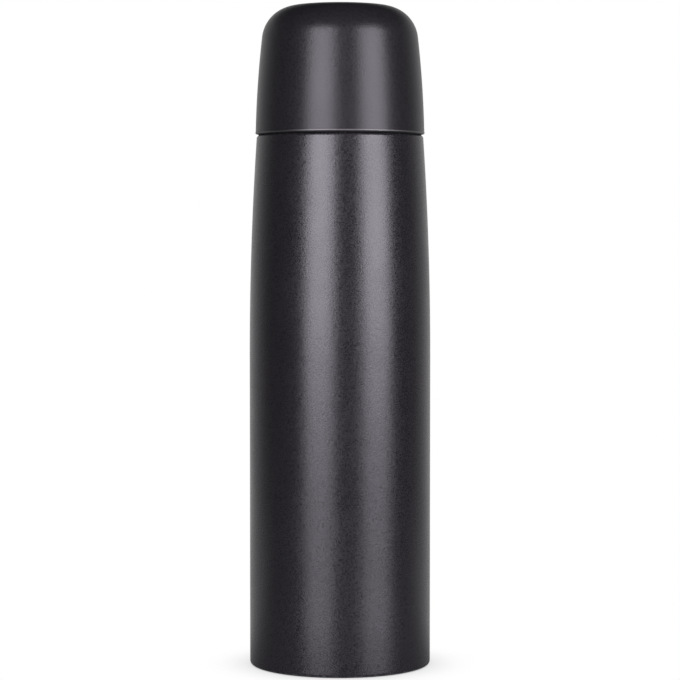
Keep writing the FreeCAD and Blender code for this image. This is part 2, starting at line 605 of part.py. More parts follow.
def make_stopper_body():
    body = new_body("stopper_body")
    turn_outline(body, "housing", [
        (SKIRT_BORE, SKIRT_LOW), (SKIRT_RADIUS, SKIRT_LOW), (SKIRT_RADIUS, FLANGE_LOW),
        (FLANGE_RADIUS, FLANGE_LOW), (FLANGE_RADIUS, DECK_TOP), (WINDOW_RADIUS, DECK_TOP),
        (WINDOW_RADIUS, DECK_LOW), (SKIRT_BORE, DECK_LOW)])
    round_edges(body, "flange_top", "flange_round", [(FLANGE_RADIUS, DECK_TOP)])
    round_edges(body, "flange_foot", "flange_round / 2", [(FLANGE_RADIUS, FLANGE_LOW)])
    round_edges(body, "button_edge", "flange_round / 2", [(WINDOW_RADIUS, DECK_TOP)])
    sketch = new_sketch(body, "flute_outline", "XY_Plane", FLANGE_LOW)
    add_circle(sketch, "flute_radius", ("0", f"{FLANGE_RADIUS} + flute_radius - flute_depth"))
    flute = extrude(body, "flute", sketch, "flange_height", "Pocket")
    flute.Reversed = True
    repeat_round(body, "flutes", flute, int(value("flute_count")))
    sketch = new_sketch(body, "port_outline", "YZ_Plane")
    outside = f"({SKIRT_BORE} - port_inset)"
    inside = f"({outside} - port_width)"
    add_outline(sketch, [
        (inside, f"{DECK_LOW} - cut_margin"), (outside, f"{DECK_LOW} - cut_margin"),
        (outside, f"{DECK_TOP} + cut_margin"), (inside, f"{DECK_TOP} + cut_margin")])
    port = body.newObject("PartDesign::Groove", "port")
    port.Profile = sketch
    port.ReferenceAxis = (sketch, ["V_Axis"])
    port.Midplane = True
    bind(port, "Angle", "port_angle")
    doc.recompute()
    repeat_round(body, "ports", port, int(value("port_count")))
    sketch = new_sketch(body, "release_slot_outline")
    add_outline(sketch, [
        (f"{SKIRT_BORE} - cut_margin", f"{RELEASE_LOW} - moving_gap"),
        (f"{FLANGE_RADIUS} + cut_margin", f"{RELEASE_LOW} - moving_gap"),
        (f"{FLANGE_RADIUS} + cut_margin", DECK_LOW), (f"{SKIRT_BORE} - cut_margin", DECK_LOW)])
    extrude(body, "release_slot", sketch, "release_width + 2 * moving_gap", "Pocket", both_ways=True)
    add_thread(body, SKIRT_RADIUS, f"({SKIRT_RADIUS} + thread_depth)",
               f"({MOUTH_THREAD_START} + thread_lead / 2)")


def make_stopper_base():
    body = new_body("stopper_base")
    bead_high = f"({PLUG_TOP} - snap_bead_drop)"
    bead_low = f"({bead_high} - snap_bead_height)"
    lower_bore = f"({PLUG_RADIUS} - plug_wall)"
    turn_outline(body, "plug", [
        ("valve_hole", PLUG_LOW), (PLUG_RADIUS, PLUG_LOW), (PLUG_RADIUS, PLUG_SHOULDER),
        (PLUG_TUBE, PLUG_SHOULDER), (PLUG_TUBE, bead_low), (SKIRT_BORE, bead_low),
        (SKIRT_BORE, bead_high), (PLUG_TUBE, bead_high), (PLUG_TUBE, PLUG_TOP),
        (PLUG_TUBE_BORE, PLUG_TOP), (PLUG_TUBE_BORE, f"{PLUG_SHOULDER} - plug_wall"),
        (lower_bore, f"{PLUG_SHOULDER} - 2 * plug_wall"), (lower_bore, PLUG_FLOOR),
        ("valve_hole", PLUG_FLOOR)])
    round_edges(body, "foot", "plug_floor / 2", [(PLUG_RADIUS, PLUG_LOW)])


def make_stopper_gasket():
    body = new_body("stopper_gasket")
    inside = f"({PLUG_TUBE} + fit_gap)"
    outside = f"({SKIRT_RADIUS} - fit_gap)"
    low_outside = f"({THROAT} + fit_gap)"
    turn_outline(body, "ring", [
        (inside, GASKET_LOW), (low_outside, GASKET_LOW),
        (outside, f"{GASKET_LOW} + ({outside}) - ({low_outside})"),
        (outside, f"{GASKET_TOP} - gasket_bevel"), (f"{outside} - gasket_bevel / 2", GASKET_TOP),
        (inside, GASKET_TOP)])


def make_button_housing():
    body = new_body("button_housing")
    sleeve_bore = "(stem_radius + stem_clearance)"
    groove = "(stem_radius + 2 * oring_section)"
    turn_outline(body, "housing", [
        (sleeve_bore, SLEEVE_LOW), ("sleeve_radius", SLEEVE_LOW), ("sleeve_radius", HOUSING_LOW),
        (HOUSING_RADIUS, HOUSING_LOW), (HOUSING_RADIUS, HOUSING_TOP), (HOUSING_BORE, HOUSING_TOP),
        (HOUSING_BORE, HOUSING_FLOOR), ("sleeve_radius", HOUSING_FLOOR),
        ("sleeve_radius", f"{HOUSING_LOW} + sleeve_above"), (sleeve_bore, f"{HOUSING_LOW} + sleeve_above"),
        (sleeve_bore, GROOVE_HIGH), (groove, GROOVE_HIGH), (groove, GROOVE_LOW),
        (sleeve_bore, GROOVE_LOW)])
    rim_bore = f"({SKIRT_BORE} - spoke_rim)"
    turn_outline(body, "rim", [
        (rim_bore, SPOKE_LOW), (SKIRT_BORE, SPOKE_LOW), (SKIRT_BORE, f"{SPOKE_LOW} + spoke_height"),
        (rim_bore, f"{SPOKE_LOW} + spoke_height")])
    sketch = new_sketch(body, "spoke_outline")
    inner_end = f"({HOUSING_RADIUS} - housing_wall / 2)"
    outer_end = f"({SKIRT_BORE} - spoke_rim / 2)"
    add_outline(sketch, [
        (inner_end, SPOKE_LOW), (outer_end, SPOKE_LOW), (outer_end, f"{SPOKE_LOW} + spoke_height"),
        (inner_end, f"{SPOKE_LOW} + spoke_height")])
    spoke = extrude(body, "spoke", sketch, "spoke_width", both_ways=True)
    repeat_round(body, "spokes", spoke, int(value("spoke_count")))


def make_stem_oring():
    ring = doc.addObject("Part::Torus", "stem_oring")
    ring.Label = "stem_oring"
    bind(ring, "Radius1", "stem_radius + oring_section + fit_gap / 2")
    bind(ring, "Radius2", "oring_section - fit_gap / 2")
    bind(ring, "Placement.Base.z", f"({GROOVE_LOW} + {GROOVE_HIGH}) / 2")
    pieces.append(ring)


def make_button_spring():
    body = new_body("button_spring")
    add_coil(body, "coil", "spring_radius", "spring_wire", HOUSING_FLOOR, BUTTON_ROOF, "spring_turns")


def make_push_button():
    body = new_body("push_button")
    lip_top = f"({LIP_UNDERSIDE} + button_lip_height)"
    dish_radius = f"({BUTTON_RADIUS} - button_wall)"
    turn_outline(body, "cap", [
        ("0", f"{BUTTON_HIGH} - button_dish"), ("0", STEM_TOP), ("stem_radius", STEM_TOP),
        ("stem_radius", HUB_LOW), ("hub_radius", HUB_LOW), ("hub_radius", BUTTON_ROOF),
        (BUTTON_BORE, BUTTON_ROOF), (BUTTON_BORE, LIP_UNDERSIDE), (BUTTON_LIP_RADIUS, LIP_UNDERSIDE),
        (BUTTON_LIP_RADIUS, lip_top), (BUTTON_RADIUS, lip_top), (BUTTON_RADIUS, BUTTON_HIGH),
        (dish_radius, BUTTON_HIGH), ("arc", level_arc(dish_radius, "button_dish"), "right")])
    round_edges(body, "edge", "button_round", [(BUTTON_RADIUS, BUTTON_HIGH)])


def make_valve_stem():
    rod = doc.addObject("Part::Cylinder", "valve_stem")
    rod.Label = "valve_stem"
    bind(rod, "Radius", "stem_radius")
    bind(rod, "Height", f"{STEM_TOP} - {STEM_LOW}")
    bind(rod, "Placement.Base.z", STEM_LOW)
    pieces.append(rod)


def make_valve_plate():
    body = new_body("valve_plate")
    low = f"({SEAL_LOW} - valve_plate_sheet)"
    boss_top = f"({SEAL_LOW} + valve_boss_height)"
    turn_outline(body, "plate", [
        ("0", low), (VALVE_PLATE_RADIUS, low), (VALVE_PLATE_RADIUS, SEAL_LOW),
        ("valve_boss_radius", SEAL_LOW), ("valve_boss_radius", boss_top), ("stem_radius", boss_top),
        ("stem_radius", STEM_LOW), ("0", STEM_LOW)])
    round_edges(body, "edge", "valve_plate_sheet / 2", [(VALVE_PLATE_RADIUS, low)])


def make_valve_seal():
    body = new_body("valve_seal")
    outside = f"({VALVE_PLATE_RADIUS} - seal_margin)"
    inside = f"({outside} - seal_width)"
    top = f"({SEAL_LOW} + seal_height)"
    turn_outline(body, "ring", [(inside, SEAL_LOW), (outside, SEAL_LOW), (outside, top), (inside, top)])


def make_release_slide():
    body = new_body("release_slide")
    ring_outside = f"({WINDOW_RADIUS} + release_ring)"
    sketch = new_sketch(body, "ring_outline", "XY_Plane", RELEASE_LOW)
    add_circle(sketch, ring_outside)
    extrude(body, "ring", sketch, "release_sheet")
    sketch = new_sketch(body, "tab_outline")
    tab_end = f"({FLANGE_RADIUS} + release_proud)"
    add_outline(sketch, [
        (BUTTON_RADIUS, RELEASE_LOW), (tab_end, RELEASE_LOW), (tab_end, RELEASE_TOP),
        (BUTTON_RADIUS, RELEASE_TOP)])
    extrude(body, "tab", sketch, "release_width", both_ways=True)
    for name, shift in (("window_rest", "0"), ("window_pressed", "release_travel")):
        sketch = new_sketch(body, f"{name}_outline", "XY_Plane", RELEASE_LOW)
        add_circle(sketch, WINDOW_RADIUS, (shift, "0"))
        cut = extrude(body, name, sketch, "release_sheet", "Pocket")
        cut.Reversed = True
        doc.recompute()
    base = body.Tip
    corners = []
    for number, edge in enumerate(base.Shape.Edges, start=1):
        ends = [corner.Point for corner in edge.Vertexes]
        if len(ends) == 2 and min(point.x for point in ends) > value(tab_end) - TOLERANCE:
            if abs(ends[0].y - ends[1].y) < TOLERANCE:
                corners.append(f"Edge{number}")
    fillet = body.newObject("PartDesign::Fillet", "tab_corners")
    fillet.Base = (base, corners)
    bind(fillet, "Radius", "release_round")
    doc.recompute()
    return body


def make_spring_boss(slide):
    """Boss on the slide's far side, with the blind bore that the release's spring stands in."""
    sketch = new_sketch(slide, "bridge_outline")
    far_end = f"-({BOSS_FACE})"
    near_end = f"-({WINDOW_RADIUS} + release_ring / 2)"
    add_outline(sketch, [
        (far_end, RELEASE_LOW), (near_end, RELEASE_LOW), (near_end, RELEASE_TOP), (far_end, RELEASE_TOP)])
    extrude(slide, "bridge", sketch, "2 * release_boss_radius", both_ways=True)
    bore = "(release_spring_radius + release_spring_wire)"
    for name, radius, depth, kind in (
            ("spring_boss", "release_boss_radius", "release_boss_length", "Pad"),
            ("spring_bore", bore, "release_bore_depth", "Pocket")):
        sketch = new_sketch(slide, f"{name}_outline", "YZ_Plane", f"-({BOSS_FACE})")
        add_circle(sketch, radius, ("0", SPRING_AXIS))
        feature = extrude(slide, name, sketch, depth, kind)
        feature.Reversed = kind == "Pocket"
        doc.recompute()


def make_release_spring():
    """The spring at the length that it has with the release pressed home."""
    body = new_body("release_spring")
    length = f"({SKIRT_BORE} - {BOSS_FACE} + release_bore_depth - release_travel - 2 * fit_gap)"
    add_coil(body, "coil", "release_spring_radius", "release_spring_wire", "0", length,
             "release_spring_turns")
    body.Placement = Placement(Vector(0, 0, 0), Rotation(Vector(0, 1, 0), 90))
    bind(body, "Placement.Base.x", f"-({SKIRT_BORE}) + fit_gap")
    bind(body, "Placement.Base.z", SPRING_AXIS)


# ---- Cup ----

def make_cup_outer_shell():
    body = new_body("cup_outer_shell")
    low = f"({CUP_LOW} + cup_bead)"
    inner_corner = f"({CUP_CORNER} - cup_sheet)"
    inner_top = f"({CUP_TOP} - cup_sheet)"
    turn_outline(body, "shell", [
        (CUP_BORE, low), (CUP_RIM, low), ("arc", "cup_side_round", "left"),
        (CUP_TOP_RADIUS, CUP_CORNER), ("arc", level_arc(CUP_TOP_RADIUS, "cup_crown"), "left"),
        ("0", CUP_TOP), ("0", inner_top),
        ("arc", level_arc(f"{CUP_TOP_RADIUS} - cup_sheet", "cup_crown"), "right"),
        (f"({CUP_TOP_RADIUS} - cup_sheet)", inner_corner),
        ("arc", "(cup_side_round - cup_sheet)", "right")])
    round_edges(body, "corner_inside", "cup_corner_round - cup_sheet",
                [(f"({CUP_TOP_RADIUS} - cup_sheet)", inner_corner)])
    round_edges(body, "corner", "cup_corner_round", [(CUP_TOP_RADIUS, CUP_CORNER)])
    sketch = new_sketch(body, "rolled_rim_outline")
    add_circle(sketch, "cup_bead", (BEAD_MIDDLE, low))
    rim = body.newObject("PartDesign::Revolution", "rolled_rim")
    rim.Profile = sketch
    rim.ReferenceAxis = (sketch, ["V_Axis"])
    rim.Angle = 360
    doc.recompute()


def make_cup_liner():
    body = new_body("cup_liner")
    outside = f"({CUP_BORE} - liner_gap)"
    top_outside = f"({CUP_TOP_RADIUS} - cup_sheet - liner_gap)"
    corner = f"({CUP_CORNER} - cup_sheet - liner_gap)"
    top = f"({CUP_TOP} - cup_sheet - liner_gap)"
    inside = f"({outside} - liner_wall)"
    top_inside = f"({top_outside} - liner_wall)"
    turn_outline(body, "liner", [
        (COLLAR_BORE, LINER_LOW), (outside, LINER_LOW),
        ("arc", "(cup_side_round - cup_sheet - liner_gap)", "left"), (top_outside, corner),
        ("arc", level_arc(top_outside, "cup_crown"), "left"), ("0", top),
        ("0", f"{top} - liner_wall"), ("arc", level_arc(top_inside, "cup_crown"), "right"),
        (top_inside, f"{corner} - liner_wall"),
        ("arc", "(cup_side_round - cup_sheet - liner_gap - liner_wall)", "right"),
        (f"({inside} - liner_bow)", f"{COLLAR_TOP} + collar_bevel"), (COLLAR_BORE, COLLAR_TOP)])
    round_edges(body, "corner_inside", "cup_corner_round - cup_sheet - liner_gap - liner_wall",
                [(top_inside, f"{corner} - liner_wall")])
    round_edges(body, "corner", "cup_corner_round - cup_sheet - liner_gap", [(top_outside, corner)])
    add_thread(body, COLLAR_BORE, f"({COLLAR_BORE} - thread_depth)",
               f"({CUP_THREAD_START} + thread_lead / 2)")


def make_cup_seat_ring():
    body = new_body("cup_seat_ring")
    outside = f"({BEAD_BORE} - seat_ring_gap)"
    turn_outline(body, "ring", [
        (COLLAR_BORE, RING_LOW), (outside, RING_LOW), (outside, RING_TOP), (COLLAR_BORE, RING_TOP)])


def check_pieces():
    """Stop if anything in the document failed, or a piece isn't a sound solid."""
    doc.recompute()
    for thing in doc.Objects:
        if "Invalid" in thing.State or "Error" in thing.State:
            raise RuntimeError(f"{thing.Label} failed: {thing.State}")
    for piece in pieces:
        if piece.Shape.isNull() or not piece.Shape.isValid() or not piece.Shape.Solids:
            raise RuntimeError(f"{piece.Label} isn't a sound solid")


def write_pieces():
    os.makedirs("parts", exist_ok=True)
    for piece in pieces:
        piece.Shape.exportStep(f"parts/{piece.Label}.step")
        print(f"{piece.Label}: {len(piece.Shape.Solids)} solid, {piece.Shape.Volume:.1f} mm3")


make_outer_shell()
make_outer_base()
make_base_cover()
make_vacuum_seal()
make_getter_holder()
make_getter_pill()
make_inner_vessel()
make_inner_bottom()
make_radiation_foil()
make_stopper_body()
make_stopper_base()
make_stopper_gasket()
make_button_housing()
make_stem_oring()
make_button_spring()
make_push_button()
make_valve_stem()
make_valve_plate()
make_valve_seal()
release_slide = make_release_slide()
make_spring_boss(release_slide)
make_release_spring()
make_cup_outer_shell()
make_cup_liner()
make_cup_seat_ring()
check_pieces()
write_pieces()
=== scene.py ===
"""Looks of a half-litre vacuum flask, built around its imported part.

Everything is in metres in the part's own frame: +Z is up, the flask stands on z = 0 and its axis is Z.
"""
import json
import math

import bmesh
import bpy
from bpy.props import FloatProperty, FloatVectorProperty, IntProperty, PointerProperty
from mathutils import Matrix, Vector


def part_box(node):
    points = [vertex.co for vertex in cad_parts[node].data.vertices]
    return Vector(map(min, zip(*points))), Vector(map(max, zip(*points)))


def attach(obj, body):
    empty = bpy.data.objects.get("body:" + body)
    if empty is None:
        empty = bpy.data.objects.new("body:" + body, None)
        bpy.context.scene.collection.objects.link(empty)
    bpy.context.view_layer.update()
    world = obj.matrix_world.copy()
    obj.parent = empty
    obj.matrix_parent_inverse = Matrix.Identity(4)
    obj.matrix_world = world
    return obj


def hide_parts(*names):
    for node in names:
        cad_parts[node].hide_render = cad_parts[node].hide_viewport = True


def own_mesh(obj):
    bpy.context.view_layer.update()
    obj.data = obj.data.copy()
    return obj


bl_info = {
    "name": "Vacuum flask",
    "version": (1, 0, 0),
    "blender": (4, 5, 0),
    "location": "View3D > Sidebar > Flask",
    "description": "Builds a vacuum flask's coated, bare and moulded pieces around its packed part",
    "category": "Mesh",
}

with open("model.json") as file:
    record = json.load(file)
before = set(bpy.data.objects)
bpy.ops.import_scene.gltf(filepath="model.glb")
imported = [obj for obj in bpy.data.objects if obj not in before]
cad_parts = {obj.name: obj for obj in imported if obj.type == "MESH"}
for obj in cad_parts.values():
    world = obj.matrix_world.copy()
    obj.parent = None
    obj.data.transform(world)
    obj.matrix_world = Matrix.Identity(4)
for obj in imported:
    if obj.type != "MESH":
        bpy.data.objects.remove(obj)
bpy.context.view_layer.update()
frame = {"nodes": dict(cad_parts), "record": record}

MM = 0.001
TINY = 1e-7
TURN = 2 * math.pi
SHARP_ANGLE = math.radians(32)


def top_of(node):
    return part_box(node)[1].z


def foot_of(node):
    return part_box(node)[0].z


# ---- Sizes and colours that a user would change ----

def length(label, meaning, default):
    return FloatProperty(name=label, description=meaning, default=default, min=0.0, precision=5,
                         subtype="DISTANCE", unit="LENGTH")


def colour(label, meaning, default):
    return FloatVectorProperty(name=label, description=meaning, default=default, size=3, min=0.0,
                               max=1.0, subtype="COLOR")


def share(label, meaning, default, most=1.0):
    return FloatProperty(name=label, description=meaning, default=default, min=0.0, max=most)


class FlaskSizes(bpy.types.PropertyGroup):
    """Sizes of the pieces that are built here"""
    columns: IntProperty(name="Columns", description="Faces around a turned piece", default=288, min=24)
    body_radius: length("Body radius", "Outside of the straight wall", 34.0 * MM)
    straight_height: length("Straight height", "Top of the straight wall", 116.0 * MM)
    shoulder_height: length("Shoulder height", "Flat shoulder that the cup sits over", 199.1 * MM)
    shoulder_radius: length("Shoulder radius", "Outer edge of the shoulder", 31.2 * MM)
    shoulder_round: length("Shoulder rounding", "Rounding of the shoulder's edge", 1.2 * MM)
    foot_bore: length("Foot bore", "Inside of the rim that the flask stands on", 30.8 * MM)
    foot_round: length("Foot rounding", "Rounding at the foot", 1.3 * MM)
    neck_radius: length("Neck radius", "Outside of the threaded neck", 26.5 * MM)
    neck_root: length("Neck root", "Fillet where the neck leaves the shoulder", 0.8 * MM)
    lip_width: length("Lip width", "Rounded mouth lip, from the neck's outside to the bore", 3.7 * MM)
    sheet: length("Sheet", "Steel sheet of shell, vessel and cup", 0.4 * MM)
    coat_edge: length("Coat edge", "Radius on the shoulder at which the coat ends", 28.4 * MM)
    thread_lead: length("Thread lead", "Rise in one turn", 5.0 * MM)
    thread_turns: FloatProperty(name="Thread turns", description="Full turns of each ridge", default=2.0)
    thread_depth: length("Thread depth", "Height of each ridge", 1.3 * MM)
    thread_start: length("Thread start", "Middle of the neck's ridge at its first turn", 203.5 * MM)
    ridge_root: length("Ridge root", "Width of a ridge at its root", 2.6 * MM)
    ridge_crest: length("Ridge crest", "Width of a ridge at its crest", 1.4 * MM)
    ridge_fade: share("Ridge fade", "Part of a turn in which a ridge runs out", 0.12)
    button_radius: length("Button radius", "Outside of the button's skirt", 10.5 * MM)
    button_wall: length("Button wall", "Button's skirt", 1.5 * MM)
    cup_rim: length("Cup rim", "Outside of the cup's wall at its rim", 31.65 * MM)
    cup_crown: length("Cup crown", "Rise of the domed top", 1.9 * MM)
    cup_draw: length("Cup draw", "How far the cup's wall draws in up to the dome", 3.77 * MM)
    cup_side_round: length("Cup side", "Radius of the bowed wall", 392.0 * MM)
    cup_corner_round: length("Cup corner", "Rounding of wall into dome", 13.1 * MM)
    cup_bead: length("Cup bead", "Radius of the rolled rim's section", 0.42 * MM)
    bead_inset: length("Bead inset", "Middle of the rolled rim inside the wall's outside", 0.3 * MM)


class FlaskColours(bpy.types.PropertyGroup):
    """Colours of the flask's finishes, each from its darker to its lighter tone"""
    coat_dark: colour("Coat, dark", "Powder coat between its grains", (0.0118, 0.0114, 0.0127))
    coat_light: colour("Coat, light", "Powder coat on its grains", (0.0164, 0.0158, 0.0176))
    cup_dark: colour("Cup coat, dark", "Cup's coat between its grains", (0.0116, 0.0112, 0.0124))
    cup_light: colour("Cup coat, light", "Cup's coat on its grains", (0.0154, 0.0149, 0.0164))
    steel_dark: colour("Steel, dark", "Steel in its spun lines", (0.30, 0.297, 0.287))
    steel_light: colour("Steel, light", "Steel between its spun lines", (0.48, 0.474, 0.46))
    black_dark: colour("Black plastic, dark", "Moulded stopper, darker tone", (0.014, 0.014, 0.0155))
    black_light: colour("Black plastic, light", "Moulded stopper, lighter tone", (0.024, 0.024, 0.026))
    grey_dark: colour("Grey plastic, dark", "Button and release, darker tone", (0.20, 0.20, 0.21))
    grey_light: colour("Grey plastic, light", "Button and release, lighter tone", (0.27, 0.27, 0.28))


class StudioLight(bpy.types.PropertyGroup):
    """Studio around the flask"""
    box_distance: length("Box distance", "Soft boxes from the flask's axis", 1.3)
    left_angle: FloatProperty(name="Left angle", description="Left soft box, from the front",
                              default=math.radians(-26), subtype="ANGLE", unit="ROTATION")
    right_angle: FloatProperty(name="Right angle", description="Right soft box, from the front",
                               default=math.radians(46.5), subtype="ANGLE", unit="ROTATION")
    left_wide: length("Left width", "Left soft box, across", 0.79)
    right_wide: length("Right width", "Right soft box, across", 0.82)
    box_tall: length("Box height", "Soft boxes, from foot to top", 0.97)
    box_middle: length("Box middle", "Middle of the soft boxes above the floor", 0.485)
    left_power: FloatProperty(name="Left power", description="Left soft box, in watts", default=19.8)
    right_power: FloatProperty(name="Right power", description="Right soft box, in watts", default=19.8)
    backdrop: share("Backdrop", "Light from behind the flask", 0.65, 4.0)
    front: share("Front", "Fill from in front of the flask", 0.015, 4.0)
    camera_distance: length("Camera distance", "Camera in front of the axis", 0.9207)
    camera_height: length("Camera height", "Camera above the floor", 0.1624)
    camera_tilt: FloatProperty(name="Camera tilt", description="Camera's look down, below level",
                               default=math.radians(2.496), subtype="ANGLE", unit="ROTATION")
    camera_lens: FloatProperty(name="Camera lens", description="Focal length in millimetres", default=129.5)


# ---- Outlines: lists of (radius, height) points ----

def arc(centre, radius, first, last, steps):
    """Points on a circle from one angle to another, both in radians."""
    angles = [first + (last - first) * step / steps for step in range(steps + 1)]
    return [(centre[0] + radius * math.cos(a), centre[1] + radius * math.sin(a)) for a in angles]


def straight(first, last, steps):
    """Evenly spaced points from first up to, and without, last."""
    return [(first[0] + (last[0] - first[0]) * step / steps,
             first[1] + (last[1] - first[1]) * step / steps) for step in range(steps)]


def rounded(corners, steps=5):
    """Closed outline. A corner is (radius, height), or (radius, height, rounding)."""
    points = []
    for index, corner in enumerate(corners):
        here = Vector(corner[:2])
        if len(corner) == 2:
            points.append(tuple(here))
            continue
        before = (Vector(corners[index - 1][:2]) - here).normalized()
        after = (Vector(corners[(index + 1) % len(corners)][:2]) - here).normalized()
        half = before.angle(after) / 2
        centre = here + (before + after).normalized() * (corner[2] / math.sin(half))
        reach = corner[2] / math.tan(half)
        first = here + before * reach - centre
        last = here + after * reach - centre
        for step in range(steps + 1):
            way = first.slerp(last, step / steps).normalized() * corner[2]
            points.append(tuple(centre + way))
    return points


def upright_arc(start, end, steps):
    """Arc that is upright at start and passes through end."""
    rise, draw = end[1] - start[1], start[0] - end[0]
    radius = (rise ** 2 + draw ** 2) / (2 * draw)
    points = []
    for step in range(steps + 1):
        height = rise * step / steps
        points.append((start[0] - radius + math.sqrt(radius ** 2 - height ** 2), start[1] + height))
    return points


def circles_meet(first, first_radius, second, second_radius):
    """The outer one of the two points at the given distances from two centres."""
    a, b = Vector(first), Vector(second)
    along = b - a
    share_along = (first_radius ** 2 - second_radius ** 2 + along.length_squared) / (2 * along.length)
    aside = math.sqrt(max(first_radius ** 2 - share_along ** 2, 0))
    unit = along.normalized()
    square = Vector((-unit.y, unit.x))
    ends = [a + unit * share_along + square * aside, a + unit * share_along - square * aside]
    return max(ends, key=lambda point: point.x)


def angle_from(centre, point):
    return math.atan2(point[1] - centre[1], point[0] - centre[0])


# ---- Meshes ----

def finish_mesh(name, bm, finishes, pick=None):
    """Object from a bmesh: clean normals, smooth faces with sharp folds, and its finishes."""
    bmesh.ops.remove_doubles(bm, verts=bm.verts, dist=TINY)
    bmesh.ops.recalc_face_normals(bm, faces=bm.faces)
    for face in bm.faces:
        face.smooth = True
        if pick:
            face.material_index = pick(face.calc_center_median())
    for edge in bm.edges:
        if len(edge.link_faces) == 2 and edge.calc_face_angle(0) > SHARP_ANGLE:
            edge.smooth = False
    mesh = bpy.data.meshes.new(name)
    bm.to_mesh(mesh)
    bm.free()
    for material in finishes:
        mesh.materials.append(material)
    piece = bpy.data.objects.new(name, mesh)
    bpy.context.scene.collection.objects.link(piece)
    return piece


def turned(name, outline, finishes, pick=None, warp=None):
    """Closed outline turned about Z. warp(angle, radius, height) gives a point's own radius."""
    columns = bpy.context.scene.flask_sizes.columns
    bm = bmesh.new()
    rings = []
    for radius, height in outline:
        if radius < TINY:
            rings.append([bm.verts.new((0, 0, height))])
            continue
        ring = []
        for column in range(columns):
            angle = TURN * column / columns
            across = warp(angle, radius, height) if warp else radius
            ring.append(bm.verts.new((across * math.cos(angle), across * math.sin(angle), height)))
        rings.append(ring)
    for index, ring in enumerate(rings):
        following = rings[(index + 1) % len(rings)]
        if len(ring) == 1 and len(following) == 1:
            continue
        for column in range(columns):
            nearby = (column + 1) % columns
            if len(ring) == 1:
                corners = (ring[0], following[nearby], following[column])
            elif len(following) == 1:
                corners = (ring[column], ring[nearby], following[0])
            else:
                corners = (ring[column], ring[nearby], following[nearby], following[column])
            bm.faces.new(corners)
    return finish_mesh(name, bm, finishes, pick)


def ridge_height(sizes, start, angle, height):
    """How far a right-hand ridge stands out of its wall at an angle and a height."""
    best = 0.0
    for turn in range(-1, int(sizes.thread_turns) + 2):
        along = angle / TURN + turn
        past = max(-along, along - sizes.thread_turns, 0)
        if past > sizes.ridge_fade:
            continue
        aside = abs(height - start - sizes.thread_lead * along)
        flank = (sizes.ridge_root / 2 - aside) / ((sizes.ridge_root - sizes.ridge_crest) / 2)
        rise = min(max(flank, 0), 1)
        rise = rise * rise * (3 - 2 * rise)
        best = max(best, sizes.thread_depth * rise * (1 - past / sizes.ridge_fade))
    return best


def coil(name, radius, wire, span, turns, place, finish, steps=40, sides=12):
    """Spring; dead turns lie close at each end, span is its length on local Z, place its matrix."""
    bm = bmesh.new()
    dead = 0.8
    rings = []
    for step in range(int(turns * steps) + 1):
        turn = step / steps
        closed = min(turn, dead) + max(turn - turns + dead, 0)
        live = min(max(turn - dead, 0), turns - 2 * dead)
        free = span - wire - 2 * dead * wire
        height = wire / 2 + closed * wire + free * live / (turns - 2 * dead)
        angle = TURN * turn
        out = Vector((math.cos(angle), math.sin(angle), 0))
        ring = []
        for side in range(sides):
            way = TURN * side / sides
            point = out * (radius + wire / 2 * math.cos(way))
            point.z = height + wire / 2 * math.sin(way)
            ring.append(bm.verts.new(place @ point))
        rings.append(ring)
    for ring, following in zip(rings, rings[1:]):
        for side in range(sides):
            nearby = (side + 1) % sides
            bm.faces.new((ring[side], ring[nearby], following[nearby], following[side]))
    bm.faces.new(rings[0])
    bm.faces.new(rings[-1])
    return finish_mesh(name, bm, [finish])


# ---- Shader node groups ----

FLOAT = "NodeSocketFloat"
VECTOR = "NodeSocketVector"


def add_node(tree, kind, settings=None, **inputs):
    """Node with its settings, and its inputs set to a value or linked from an output.
    An input is given by its name with _ for a space, or as i and its number."""
    node = tree.nodes.new(kind)
    node.location = (180 * (len(tree.nodes) % 12), -220 * (len(tree.nodes) // 12))
    for name, setting in (settings or {}).items():
        setattr(node, name, setting)
    for name, given in inputs.items():
        key = int(name[1:]) if name[1:].isdigit() else name.replace("_", " ")
        if isinstance(given, bpy.types.NodeSocket):
            tree.links.new(given, node.inputs[key])
        else:
            node.inputs[key].default_value = given
    return node


def calculate(tree, operation, first, second=0.0):
    node = add_node(tree, "ShaderNodeMath", {"operation": operation}, i0=first, i1=second)
    return node.outputs[0]


def spread(tree, given, low, high, to_low=0.0, to_high=1.0):
    """Given value moved smoothly from one range to another."""
    node = add_node(tree, "ShaderNodeMapRange", {"interpolation_type": "SMOOTHSTEP"}, Value=given,
                    From_Min=low, From_Max=high, To_Min=to_low, To_Max=to_high)
    return node.outputs["Result"]


def scaled(tree, vector, factor):
    node = add_node(tree, "ShaderNodeVectorMath", {"operation": "SCALE"}, Vector=vector, Scale=factor)
    return node.outputs["Vector"]


def noise(tree, vector, scale, detail=2.0, roughness=0.5):
    node = add_node(tree, "ShaderNodeTexNoise", Vector=vector, Scale=scale, Detail=detail,
                    Roughness=roughness)
    return node.outputs["Fac"]


def new_group(name, inputs, outputs):
    """Empty shader group, its input sockets by name, and a function that sets its outputs."""
    tree = bpy.data.node_groups.new(name, "ShaderNodeTree")
    for label, (kind, default) in inputs.items():
        socket = tree.interface.new_socket(label, in_out="INPUT", socket_type=kind)
        if kind == FLOAT:
            socket.default_value = default
    for label in outputs:
        tree.interface.new_socket(label, in_out="OUTPUT", socket_type=FLOAT)
    given = tree.nodes.new("NodeGroupInput").outputs
    end = tree.nodes.new("NodeGroupOutput")

    def put_out(**results):
        for label, result in results.items():
            tree.links.new(result, end.inputs[label])
    return tree, given, put_out


